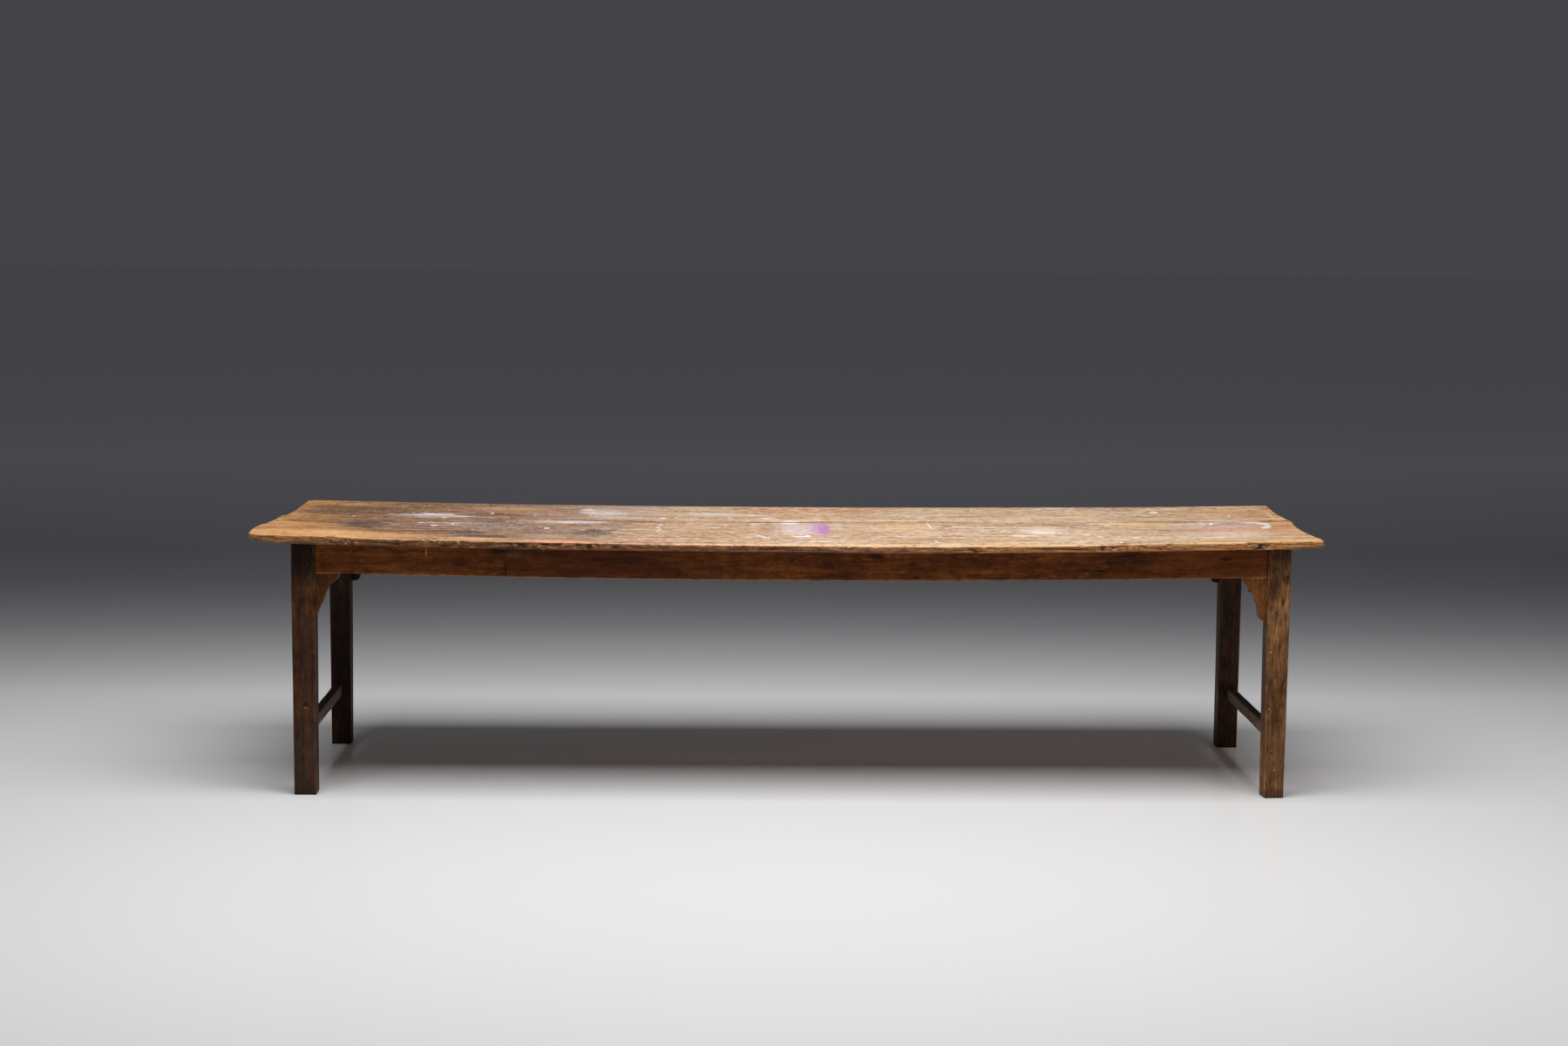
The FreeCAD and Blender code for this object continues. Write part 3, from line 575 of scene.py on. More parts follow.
stretcherWear = {
    "across": 8, "step": 0.010, "arris": 0.003, "plane": 0.0008,
    "chip": 0.006, "chipFrom": 0.28, "seed": 80.0,
}
stretcherFit = {"level": 0.174, "seat": 0.003}  # mid height, how far the ends stand in the legs
stretcherLook = {
    **legLook,
    "axis": "Y",
    "ramp": [(0.34, (54, 39, 30)), (0.46, (102, 82, 69)), (0.57, (136, 114, 98)), (0.70, (178, 154, 134))],
    "marks": [
        ((-1.402, 0.0, 0.194), (0.06, 0.8, 0.007), (38, 23, 15), 0.95, 0.2),
        ((1.402, 0.0, 0.194), (0.06, 0.8, 0.007), (38, 23, 15), 0.95, 0.2),
    ],
    "wornColour": (160, 138, 118),
}


def makeStretchers():
    finish = brownTimber("stretcherTimber", stretcherLook)
    slimmest = min(legTaper[corner][0] for corner in legFinishes)
    inset = slimmest + (1 - slimmest) * stretcherFit["level"] / legTaper["knee"]  # leg share at the stretcher
    for side in ("left", "right"):
        low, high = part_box("stretcher_" + side)
        front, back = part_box("leg_front_" + side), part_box("leg_back_" + side)
        halfLeg = (front[1].y - front[0].y) / 2 * inset - stretcherFit["seat"]
        low.y = (front[0].y + front[1].y) / 2 + halfLeg
        high.y = (back[0].y + back[1].y) / 2 - halfLeg
        wornTimber("stretcher_" + side, low, high, stretcherWear, finish, "stretcher_wood")


makeStretchers()


# Cross battens under the top

battenWear = {
    "across": 8, "step": 0.012, "arris": 0.003, "plane": 0.0010,
    "chip": 0.004, "chipFrom": 0.3, "seed": 95.0,
}
battenLook = {
    **stretcherLook,
    "marks": [],
    "ramp": [(0.30, (70, 50, 36)), (0.45, (104, 78, 56)), (0.58, (132, 102, 74)), (0.72, (158, 128, 96))],
    "wornColour": (160, 130, 98),
}


def makeBattens():
    finish = brownTimber("battenTimber", battenLook)
    for side in ("left", "centre", "right"):
        wornTimber("batten_" + side, *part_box("batten_" + side), battenWear, finish, "batten_wood")


makeBattens()
print("stretchers and battens made")


# Shaped brackets between the legs and the long aprons

bracketWear = {"arris": 0.0016, "step": 0.008, "plane": 0.0005}
bracketCut = {  # by corner: how much slimmer the middle and the tip are, how much longer the tip is
    "front_left": (0.14, 0.46, 0.0), "front_right": (0.0, 0.0, 0.003),
    "back_left": (0.0, 0.0, 0.010), "back_right": (0.0, 0.05, 0.002),
}
bracketSaw = {"head": (0.005, 0.04), "tip": (0.045, 0.005), "longTip": 0.05}  # below the top, above the tip
bracketLook = {
    **apronLook,
    "axis": "Z",
    "ramp": [(0.36, (34, 16, 6)), (0.48, (60, 33, 14)), (0.58, (82, 47, 21)), (0.70, (112, 70, 36))],
    "worn": 0.7,
    "marks": [
        ((1.335, -0.4175, 0.59), (0.06, 0.03, 0.09), (126, 77, 36), 0.85, 0.6),
        # painted shade on the two back brackets
        ((-1.335, 0.3935, 0.59), (0.09, 0.05, 0.11), (26, 15, 9), 0.85, 0.4),
        ((1.335, 0.3935, 0.59), (0.09, 0.05, 0.11), (26, 15, 9), 0.85, 0.4),
        ((-1.335, -0.4175, 0.6455), (0.04, 0.03, 0.0022), (164, 116, 70), 0.8, 0.8),
        ((1.335, -0.4175, 0.6455), (0.04, 0.03, 0.0022), (176, 128, 80), 0.9, 0.8),
    ],
}


def sawn(corner, place):  # where a point of the plain bracket, or a nail in it, ends up
    low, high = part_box("bracket_" + corner)
    middle, tip, longer = bracketCut[corner]
    legSide = low.x if low.x < 0 else high.x
    headFrom, headTo = bracketSaw["head"]
    tipFrom, tipTo = bracketSaw["tip"]
    slim = middle * ease(high.z - headFrom, high.z - headTo, place.z)
    slim += tip * ease(low.z + tipFrom, low.z + tipTo, place.z)
    drop = longer * ease(low.z + bracketSaw["longTip"], low.z, place.z)
    return Vector((legSide + (place.x - legSide) * (1 - slim), place.y, place.z - drop))


def makeBrackets():
    finish = brownTimber("bracketTimber", bracketLook)
    for seed, corner in enumerate(bracketCut):
        node = "bracket_" + corner
        bm = bmesh.new()
        bm.from_mesh(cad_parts[node].data)
        bmesh.ops.remove_doubles(bm, verts=bm.verts, dist=1e-5)
        bmesh.ops.dissolve_limit(bm, angle_limit=math.radians(1), verts=bm.verts, edges=bm.edges)
        sharp = [e for e in bm.edges if len(e.link_faces) == 2 and e.calc_face_angle() > 0.6]
        bmesh.ops.bevel(bm, geom=sharp, offset=bracketWear["arris"], affect="EDGES", segments=2,
                        profile=0.5, material=-1)
        low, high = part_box(node)
        for axis in range(3):
            for k in range(1, int((high[axis] - low[axis]) / bracketWear["step"]) + 1):
                at = Vector((0, 0, 0))
                at[axis] = low[axis] + k * bracketWear["step"]
                way = Vector((0, 0, 0))
                way[axis] = 1
                sliceAll(bm, at, way)
        arris = bm.verts.layers.float.new("arris")
        bm.verts.layers.float.new("grimeAndShade")
        bm.normal_update()
        for vert in bm.verts:
            flat = max(abs(c) for c in vert.normal)
            vert[arris] = ease(0.97, 0.8, flat) if abs(vert.normal.y) > 0.3 else 0.0
            rub = grainAt(*vert.co, 25, 25, 12, seed * 5.0)
            vert.co += vert.normal * bracketWear["plane"] * rub
            vert.co = sawn(corner, vert.co)
        finishPiece(bm, node + "_worn", finish, [node])


makeBrackets()
print("brackets made")


# The two wide boards of the top

boardForm = {
    "along": 860, "across": 30, "through": 15,
    "crowd": (0.3, 0.86, 0.3),  # how far the grid lines gather at the arrises, by axis
    "thick": 0.024, "endZone": 0.02, "wander": 0.3,  # how far the nosing's radius wanders
    "nosing": 0.0085, "midNosing": 0.0112, "underArris": 0.003, "jointArris": 0.006,
    "underEnds": (0.006, 0.16, 0.03),  # more rounding under the ends: how much, from and to the end
    "thinLeft": (0.10, 0.08),  # how much thinner the left end is: everywhere, and more at the front
    "thinRight": 0.10,
    "lip": 0.0022,  # the front lip hangs a little right of the middle
    "rubbed": [(-1.5, 0.7), (-0.7, 0.85), (-0.3, 1.0), (0.75, 1.0), (0.95, 0.45), (1.5, 0.45)],  # pale arris
    "hump": 0.0045,  # the back half sags less than the front edge
    "joint": 0.0375, "jointDirt": 0.95,
    # each board's dish: middle, half width, depth, and how much deeper at the left and right ends
    "frontBowl": (-0.2135, 0.25, 0.001, -0.003, 0.004),
    "backBowl": (0.251, 0.2125, 0.001, 0.002, 0.002),
    "cornerLift": 0.0035,
    "jointGape": [(-0.52, 0.0), (-0.48, 0.004), (-0.40, 0.004), (-0.35, 0.001), (-0.16, 0.001),
                  (-0.10, 0.004), (0.14, 0.004), (0.20, 0.001), (0.60, 0.001), (0.70, 0.0),
                  (1.42, 0.0), (1.45, 0.005), (1.53, 0.004)],
    "crackStep": 0.0014, "crackPull": 0.02,  # close lines beside a crack, how far it draws the grain
}
boards = {
    "front": {
        "node": "top_board_front", "seed": 0.0,
        "left": [(-0.45, -1.553), (-0.35, -1.5576), (-0.268, -1.555), (-0.17, -1.541),
                 (-0.08, -1.536), (0.04, -1.536)],
        "right": [(-0.46, 1.522), (-0.39, 1.5245), (-0.31, 1.521), (-0.2, 1.518),
                  (-0.08, 1.5175), (0.04, 1.526)],
        "corners": {"leftFront": 0.036, "rightFront": 0.012, "leftBack": 0.004, "rightBack": 0.004},
        "cracks": [(-0.115, -1.54, -1.30, 0.007), (-0.292, 1.36, 1.53, 0.006), (-0.045, 0.95, 1.53, 0.004)],
        # along the edge, half width, depth, how far up the edge
        "notches": [(-1.30, 0.020, 0.004, 0.4), (-1.12, 0.010, 0.004, 0.0), (-0.965, 0.014, 0.005, 0.3),
                    (-0.812, 0.016, 0.007, -0.2), (-0.768, 0.020, 0.007, -0.1),
                    (-0.705, 0.016, 0.003, -0.2), (-0.665, 0.007, 0.003, 0.2), (-0.610, 0.012, 0.004, 0.1),
                    (-0.560, 0.009, 0.004, 0.1), (-0.507, 0.020, 0.004, -0.1), (0.31, 0.020, 0.004, 0.3),
                    (0.52, 0.024, 0.004, 0.1), (0.82, 0.012, 0.004, 0.5), (0.885, 0.012, 0.005, 0.1),
                    (0.935, 0.014, 0.005, 0.2), (1.08, 0.012, 0.004, 0.2), (1.354, 0.048, 0.0036, 0.2),
                    (1.49, 0.010, 0.004, 0.2)],
        "torn": [(-1.26, 0.05), (-0.97, 0.08), (-0.75, 0.11), (-0.59, 0.09), (0.54, 0.06), (0.91, 0.11),
                 (1.35, 0.06)],
    },
    "back": {
        "node": "top_board_back", "seed": 31.0,
        "left": [(0.04, -1.524), (0.08, -1.522), (0.22, -1.5185), (0.32, -1.520), (0.46, -1.518)],
        "right": [(0.04, 1.527), (0.15, 1.526), (0.26, 1.526), (0.45, 1.534)],
        "corners": {"leftFront": 0.004, "rightFront": 0.004, "leftBack": 0.016, "rightBack": 0.012},
        "cracks": [(0.17, -1.53, -1.22, 0.006), (0.30, 1.30, 1.54, 0.006)],
        "notches": [(-1.02, 0.02, 0.005, 0.4), (-0.2, 0.012, 0.004, 0.2), (0.66, 0.02, 0.004, 0.1),
                    (1.2, 0.012, 0.006, 0.3)],
        "torn": [(-0.85, 0.12), (0.35, 0.10), (1.15, 0.12)],
    },
}


def boardDish(x, y):  # how far the worn face lies above the plain arc
    lift = boardForm["hump"] * ease(-0.46, 0.05, y) * (1 - (x / tableSag["half"]) ** 2)
    middle, wide, flat, atLeft, atRight = boardForm["frontBowl" if y < boardForm["joint"] else "backBowl"]
    across = (y - middle) / wide
    bowl = 1 - min(1.0, across * across)
    deep = flat + atLeft * ease(-0.6, -1.5, x) + atRight * ease(0.4, 1.5, x)
    lift -= deep * bowl
    lift += boardForm["cornerLift"] * ease(-1.16, -1.34, x) * ease(-0.1, -0.4, y)
    lift += 0.0007 * grainAt(x, y, 0, 2.2, 7, 1, 4) + 0.0003 * grainAt(x, y, 0, 6, 22, 1, 8)
    return lift


edgeForm = {
    "split": 0.0022, "chip": 0.009, "chipFrom": 0.22, "scoop": 0.009, "scoopFrom": 0.10,
    "wave": 0.0010, "lump": 0.0009,  # slow waver and small lumps along the edge
    "notchTall": 0.6, "notchDirt": 130,
}


def edgeWear(spec, x, y, z, way, outward):  # splits along the edge, broken arris and odd chips, and painted shade where the edge faces down
    form, seed = edgeForm, spec["seed"]
    edge = 1 - abs(way.z)
    upper = ease(-0.3, 0.6, way.z) * ease(0.05, 0.4, edge)
    line = grainAt(x, y, z, 1.6, 1.6, 170, seed + 2)
    split = max(0.0, 1 - abs(line) * 5) * edge * ease(-0.2, 0.2, grainAt(x, y, z, 6, 6, 20, seed + 3))
    chip = max(0.0, grainAt(x, y, z, 75, 75, 75, seed + 6) - form["chipFrom"]) * upper
    chip *= ease(-0.1, 0.3, grainAt(x, y, 0, 5, 5, 1, seed + 7))
    lump = grainAt(x, y, z, 60, 60, 90, seed + 14)
    wave = form["wave"] * grainAt(x, y, 0, 4, 4, 1, seed + 12) + form["lump"] * lump
    gouge = 0.0
    for notchX, wide, deep, up in spec["notches"] if outward else []:
        gouge += deep * max(0.0, 1 - ((x - notchX) / wide) ** 2 - ((way.z - up) / form["notchTall"]) ** 2)
    gouge *= limit(0.9 + 1.4 * lump)
    torn = sum(max(0.0, 1 - ((x - at) / wide) ** 2) for at, wide in spec["torn"])
    scoop = max(0.0, grainAt(x, y, z, 42, 42, 80, seed + 8) - form["scoopFrom"])
    scoop = scoop * ease(0.7, 0.2, way.z) * (0.08 + torn)
    dent = form["split"] * split * (1 + ease(0.8, 1.3, x))
    dent = dent + form["chip"] * chip * (1 + 1.6 * torn) + gouge + form["scoop"] * scoop
    dirtAndShade = split * 0.8 + gouge * form["notchDirt"] + scoop * 1.5 + max(0.0, chip - 0.12) * 4 * torn
    # painted shade on the parts of the edge that face down
    dirtAndShade = limit(dirtAndShade + 0.7 * ease(0.0, -0.5, way.z))
    return dent, wave, dirtAndShade, torn, chip


def roundCorners(point, halfX, halfY, corners):  # plan corners of a board, each with its own radius
    for name, radius in corners.items():
        cx = -halfX if name.startswith("left") else halfX
        cy = -halfY if name.endswith("Front") else halfY
        inX, inY = radius - abs(point.x - cx), radius - abs(point.y - cy)
        if inX > 0 and inY > 0:
            shrink = max(inX, inY) / math.hypot(inX, inY)
            point.x = cx - math.copysign(radius - inX * shrink, cx)
            point.y = cy - math.copysign(radius - inY * shrink, cy)


def openCrack(point, x, y, crack, seed, onTop):  # draws the grain to a crack, returns how open it is here
    crackY, start, stop, deep = crack
    off = y - crackY
    if abs(off) >= boardForm["crackPull"] or not min(start, stop) < x < max(start, stop):
        return 0.0
    mouth = start if abs(start) > abs(stop) else stop
    reach = 1 - ease(0.2, 1.0, abs(x - mouth) / abs(stop - start))
    pull = 1 - abs(off) / boardForm["crackPull"]
    point.y += 0.004 * grainAt(x, crackY, 0, 9, 1, 1, seed + 20) * pull
    if abs(off) >= 0.0005 or not onTop:
        return 0.0
    point.z -= deep * reach
    return reach


def makeBoard(side, finish):
    spec = boards[side]
    seed = spec["seed"]
    low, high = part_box(spec["node"])
    halfX, halfY, halfZ = tableSag["half"], (high.y - low.y) / 2, boardForm["thick"] / 2
    midY = (high.y + low.y) / 2
    half = Vector((halfX, halfY, halfZ))
    bm = cutBlock((boardForm["along"], boardForm["across"], boardForm["through"]))
    for vert in bm.verts:
        shares = [crowd(t, share) for t, share in zip(vert.co, boardForm["crowd"])]
        vert.co = [(t * 2 - 1) * h for t, h in zip(shares, half)]
    for crack in spec["cracks"]:  # three close lines where a crack opens
        for step in (-boardForm["crackStep"], 0.0, boardForm["crackStep"]):
            sliceAll(bm, Vector((0, crack[0] - midY + step, 0)), (0, 1, 0))
    arris = bm.verts.layers.float.new("arris")
    grimeAndShade = bm.verts.layers.float.new("grimeAndShade")
    fray = bm.verts.layers.float.new("fray")
    outerFront = side == "front"
    for vert in bm.verts:
        x, y, z = vert.co
        outward = (y < 0) == outerFront  # this half of the board faces the room, not the joint
        slow = grainAt(x, 0, 0, 3, 1, 1, seed)
        if z > 0:
            nearEnd = abs(x) > halfX - boardForm["endZone"]
            radius = boardForm["nosing"] if outward or nearEnd else boardForm["jointArris"]
            radius *= 1 + boardForm["wander"] * slow
            if outward and outerFront:  # rubbed rounder along the middle
                radius += (boardForm["midNosing"] - radius) * ease(-0.7, -0.2, x) * ease(1.3, 0.9, x)
        else:
            more, start, stop = boardForm["underEnds"]
            radius = boardForm["underArris"] + more * ease(halfX - start, halfX - stop, abs(x))
        point, way, share = roundArris(vert.co, half, radius)
        dirtAndShade = 0.0
        if abs(way.z) < 0.98 and (outward or abs(way.x) > 0.3):
            dent, wave, dirtAndShade, torn, chip = edgeWear(spec, x, y, z, way, outward)
            point -= way * dent
            point += Vector((way.x, way.y, 0)) * wave
            vert[fray] = limit(torn)
            share = limit(share + chip * 2 * (1 + torn))
        elif not outward and abs(way.y) > 0.3:
            dirtAndShade = boardForm["jointDirt"]
        roundCorners(point, halfX, halfY, spec["corners"])
        for crack in spec["cracks"]:
            dirtAndShade = max(dirtAndShade, openCrack(point, x, y + midY, crack, seed, z > halfZ - 0.0001))
        if not outward:  # the joint has opened a little in places
            gape = follow(boardForm["jointGape"], x)
            point.y += (-gape if outerFront else gape) * ease(0.0, 0.9, abs(y) / halfY)
        worldY = point.y + midY
        pull = ease(0.75, halfX, abs(x))
        end = follow(spec["left"] if x < 0 else spec["right"], worldY)
        point.x += (end - math.copysign(halfX, x)) * pull
        thin, corner = boardForm["thinLeft"]
        thinner = (thin + corner * ease(0.05, -0.35, worldY)) * ease(1.42, 1.53, -x)
        below = (halfZ - point.z) * (1 - thinner - boardForm["thinRight"] * ease(1.44, 1.53, x))
        level = sagLevel(point.x, below)
        level += boardDish(point.x, worldY) * limit((point.z + halfZ) / (2 * halfZ))
        hang = boardForm["lip"] * ease(-0.10, 0.35, x) * ease(1.15, 0.75, x)
        level -= hang * ease(-0.418, -0.455, worldY)
        vert[arris] = 0.3 * share
        if z > 0:
            vert[arris] = share * ease(0.30, 0.60, way.z) * follow(boardForm["rubbed"], x)
        # dirt in splits, notches and the joint, plus painted shade under the edges
        vert[grimeAndShade] = dirtAndShade
        vert.co = (point.x, worldY, level)
    bm.normal_update()
    finishPiece(bm, "board_" + side + "_worn", finish, [spec["node"]])


topGrain = {  # shift, size along and across the grain, detail, roughness, twist
    "patches": ((1, 2, 3), (0.28, 0.16, 0.16), 5, 0.62),
    "bands": ((3, 1, 2), (0.34, 0.034, 0.034), 5, 0.66, 0.6),
    "mottle": ((5, 4, 1), (0.032, 0.028, 0.028), 4, 0.66),
    "grit": ((8, 6, 2), (0.012, 0.011, 0.011), 3, 0.6),
    "streaks": ((6, 3, 8), (0.17, 0.012, 0.012), 3, 0.6, 0.4),
    "drag": ((4, 7, 5), (0.110, 0.020, 0.020), 4, 0.62),
    "fibres": ((7, 5, 3), (0.07, 0.0036, 0.0036), 4, 0.65),
    "pores": ((2, 9, 4), (0.030, 0.0014, 0.0014), 2, 0.5),
    "threads": ((9, 2, 6), (0.060, 0.010, 0.0034), 4, 0.62),
    "crumbs": ((3, 9, 5), (0.014, 0.009, 0.0042), 4, 0.66),
}
topRings = {"Scale": 26.0, "Distortion": 5.0, "Detail": 3.0, "Detail Scale": 1.4, "Detail Roughness": 0.6}
topLook = {
    "length": 3.1,  # the runs below go from end to end of this
    "heart": ((0, 0.11, 0.62), (9.0, 1.0, 1.0)),  # middle of the growth rings, and how they stretch
    "chalkColour": (232, 218, 204), "poreColour": (86, 58, 40), "grimeAndShadeColour": (40, 25, 16),
    # colour of the bare wood from the left end to the right end
    "run": [(0.0, (222, 168, 106)), (0.05, (196, 146, 92)), (0.11, (150, 110, 74)), (0.21, (148, 111, 82)),
            (0.30, (172, 137, 108)), (0.38, (206, 169, 132)), (0.50, (218, 178, 136)),
            (0.63, (222, 187, 145)), (0.76, (223, 190, 150)), (0.89, (222, 188, 148)),
            (0.97, (222, 176, 124)), (1.0, (220, 166, 106))],
    # how much chalk is left on the boards over the same length, as greys
    "chalkRun": [(0.0, (60, 60, 60)), (0.10, (90, 90, 90)), (0.28, (160, 160, 160)), (0.50, (216, 216, 216)),
                 (0.72, (214, 214, 214)), (0.88, (200, 200, 200)), (0.97, (126, 126, 126))],
    # colour of the front and back edges over the same length, darkened by dirt and by painted shade
    "edgeDirtAndShadeRun": [(0.0, (160, 114, 68)), (0.05, (126, 86, 50)), (0.12, (108, 68, 38)), (0.30, (112, 68, 38)),
                (0.45, (112, 68, 40)), (0.60, (138, 90, 54)), (0.72, (156, 102, 54)), (1.0, (190, 132, 74))],
    # colour of the rubbed upper arris over the same length
    "arrisRun": [(0.0, (224, 176, 112)), (0.25, (206, 156, 104)), (0.36, (226, 170, 132)),
                 (0.50, (240, 194, 150)), (0.70, (232, 188, 132)), (1.0, (224, 172, 106))],
    # darker lines, bands and speckle, multiplied in: pattern, from, to, strength, shade
    "shading": [("lines", 0.62, 0.34, 0.50, (160, 116, 82)), ("bands", 0.54, 0.34, 0.60, (162, 120, 88)),
                ("streaks", 0.50, 0.34, 0.72, (158, 116, 84)), ("mottle", 0.48, 0.28, 0.60, (156, 116, 86))],
    # pale streaks, dark and pale grit over the chalk
    "grit": [("streaks", 0.56, 0.70, 0.40, (236, 210, 174)), ("grit", 0.56, 0.68, 0.55, (100, 72, 54)),
             ("grit", 0.40, 0.28, 0.45, (240, 226, 208))],
    # soft stains: place, half sizes, colour, strength, maybe a turn in degrees
    "stains": [
        (-1.36, 0.2, 0.21, 0.18, (92, 67, 49), 0.85),
        (-1.27, 0.08, 0.11, 0.06, (98, 72, 58), 0.6),
        (-1.3, -0.12, 0.13, 0.1, (116, 84, 66), 0.65),
        (-1.255, -0.15, 0.09, 0.11, (68, 51, 48), 0.98),
        (-1.425, -0.055, 0.03, 0.045, (138, 78, 56), 0.6),
        (-1.465, -0.095, 0.045, 0.03, (100, 56, 38), 0.8, 8),
        (-1.12, -0.16, 0.15, 0.08, (126, 96, 82), 0.65),
        (-1.05, 0.1, 0.16, 0.08, (138, 112, 102), 0.5),
        (-1.13, 0.195, 0.085, 0.024, (84, 60, 52), 0.75),
        (-0.945, 0.215, 0.055, 0.042, (100, 70, 56), 0.6, -12),
        (-0.82, 0.15, 0.05, 0.024, (104, 76, 62), 0.65),
        (-0.88, -0.13, 0.15, 0.09, (142, 126, 116), 0.6),
        (-0.945, -0.3, 0.075, 0.06, (74, 50, 44), 1.0, -20),
        (-0.895, -0.37, 0.105, 0.036, (66, 42, 34), 1.0),
        (-0.92, -0.43, 0.12, 0.032, (222, 172, 118), 0.8),
        (-1.28, -0.4, 0.32, 0.085, (224, 168, 106), 0.7),
        (-0.74, 0.18, 0.1, 0.14, (164, 126, 102), 0.55),
        (-0.86, 0.33, 0.16, 0.07, (196, 146, 98), 0.6),
        (-0.57, 0.26, 0.085, 0.13, (194, 180, 172), 0.75),
        (-0.7, 0.01, 0.13, 0.06, (190, 172, 162), 0.6),
        (-0.67, -0.01, 0.036, 0.024, (218, 206, 204), 0.85),
        (-0.72, -0.165, 0.1, 0.048, (112, 86, 74), 0.75),
        (-0.585, -0.225, 0.075, 0.085, (70, 54, 52), 0.98, -12),
        (-0.57, -0.28, 0.045, 0.05, (110, 88, 80), 0.65),
        (-0.72, -0.34, 0.08, 0.05, (178, 158, 146), 0.5),
        (-0.69, -0.447, 0.13, 0.036, (226, 150, 118), 0.8),
        (-0.45, 0.3, 0.1, 0.15, (192, 166, 146), 0.5),
        (-0.25, 0.24, 0.1, 0.055, (208, 198, 182), 0.55),
        (-0.02, 0.37, 0.16, 0.08, (184, 118, 70), 0.8),
        (0.16, 0.395, 0.22, 0.075, (180, 116, 68), 0.8),
        (0.22, 0.25, 0.11, 0.085, (172, 130, 94), 0.55),
        (0.025, -0.11, 0.085, 0.15, (224, 206, 214), 0.65),
        (0.135, -0.05, 0.028, 0.115, (200, 188, 170), 0.65),
        (0.265, -0.185, 0.048, 0.016, (134, 98, 92), 0.75),
        (0.16, -0.322, 0.065, 0.012, (144, 106, 78), 0.65),
        (0.33, -0.08, 0.145, 0.075, (224, 180, 128), 0.55),
        (0.47, -0.04, 0.02, 0.022, (118, 88, 66), 0.8),
        (0.45, -0.15, 0.014, 0.1, (146, 108, 84), 0.55),
        (0.75, -0.1, 0.05, 0.075, (216, 192, 172), 0.55),
        (0.73, -0.17, 0.036, 0.048, (230, 216, 204), 0.8),
        (0.68, 0.062, 0.11, 0.032, (226, 186, 130), 0.55),
        (1.04, 0.0, 0.13, 0.058, (226, 182, 124), 0.55),
        (0.92, 0.25, 0.055, 0.1, (208, 160, 96), 0.65),
        (1.02, 0.38, 0.105, 0.045, (146, 104, 68), 0.55),
        (1.2, 0.25, 0.16, 0.105, (178, 138, 98), 0.5),
        (1.3, -0.07, 0.16, 0.105, (192, 152, 150), 0.7),
        (1.26, -0.25, 0.17, 0.11, (216, 188, 170), 0.6),
        (1.325, -0.003, 0.058, 0.024, (146, 98, 116), 0.8, -6),
        (1.475, -0.11, 0.034, 0.055, (190, 122, 116), 0.6),
        (1.45, -0.42, 0.11, 0.06, (214, 162, 100), 0.65),
        (1.175, -0.355, 0.012, 0.014, (92, 62, 42), 0.8),
        (-0.44, 0.0375, 0.065, 0.014, (34, 22, 15), 0.95),
        (-0.01, 0.0375, 0.15, 0.012, (40, 26, 18), 0.9),
        (0.23, 0.039, 0.17, 0.009, (66, 42, 27), 0.85),
        (0.46, 0.045, 0.15, 0.008, (92, 60, 34), 0.85),
        (1.47, 0.04, 0.024, 0.012, (58, 30, 20), 0.9),
    ],
    # paint dragged out along the grain
    "smears": [
        (-1.095, 0.145, 0.11, 0.045, (232, 224, 230), 1.0),
        (-1.085, 0.15, 0.055, 0.024, (236, 228, 232), 0.9),
        (-1.01, 0.118, 0.07, 0.03, (228, 218, 220), 0.95),
        (-1.15, 0.11, 0.08, 0.03, (224, 214, 216), 0.9),
        (-1.08, 0.055, 0.11, 0.035, (206, 190, 188), 0.8),
        (-1.0, -0.08, 0.12, 0.045, (206, 192, 190), 0.7),
        (-0.62, 0.3, 0.03, 0.08, (226, 222, 224), 0.9),
        (-0.56, 0.24, 0.07, 0.06, (214, 208, 208), 0.75),
        (-0.64, 0.005, 0.11, 0.045, (222, 212, 210), 0.85),
        (-0.5, 0.12, 0.14, 0.05, (214, 202, 196), 0.65),
        (-0.21, 0.24, 0.12, 0.045, (220, 214, 204), 0.7),
        (-0.095, 0.24, 0.04, 0.06, (222, 230, 230), 0.95),
        (-0.066, 0.14, 0.032, 0.08, (222, 230, 232), 0.95),
        (0.0, 0.074, 0.04, 0.026, (230, 234, 234), 0.95),
        (0.2, 0.106, 0.09, 0.016, (214, 204, 190), 0.8),
        (0.078, -0.105, 0.036, 0.175, (198, 158, 190), 0.85),
        (0.74, -0.165, 0.075, 0.075, (232, 220, 210), 0.8),
        (1.33, 0.06, 0.08, 0.024, (204, 208, 202), 0.85, -8),
        (1.2, 0.075, 0.12, 0.016, (200, 202, 190), 0.6),
    ],
    # paint: strokes, dabs and spots
    "paint": [
        (-1.045, 0.064, 0.012, 0.012, (236, 226, 220), 1.0),
        (-1.1, -0.083, 0.012, 0.011, (214, 198, 194), 0.95),
        (-1.055, -0.14, 0.013, 0.016, (214, 214, 220), 0.95, 10),
        (-1.005, -0.1, 0.004, 0.032, (214, 204, 200), 0.85),
        (-1.17, -0.14, 0.022, 0.007, (196, 176, 166), 0.75, -40),
        (-0.912, 0.2, 0.006, 0.018, (228, 218, 212), 0.95),
        (-0.908, 0.085, 0.012, 0.008, (214, 202, 196), 0.85),
        (-0.722, -0.155, 0.009, 0.014, (242, 236, 232), 1.0),
        (-0.385, 0.125, 0.011, 0.015, (238, 236, 234), 1.0),
        (-0.39, -0.05, 0.004, 0.03, (232, 220, 212), 0.95, -14),
        (-0.396, -0.11, 0.004, 0.032, (228, 216, 208), 0.95, 14),
        (-0.392, -0.18, 0.005, 0.03, (228, 216, 208), 0.95, -16),
        (-0.372, -0.214, 0.018, 0.007, (228, 218, 210), 0.9),
        (-0.3, 0.105, 0.042, 0.006, (214, 200, 186), 0.75),
        (-0.345, 0.15, 0.005, 0.04, (212, 198, 184), 0.7, -10),
        (-0.18, 0.15, 0.007, 0.032, (220, 208, 194), 0.75, 12),
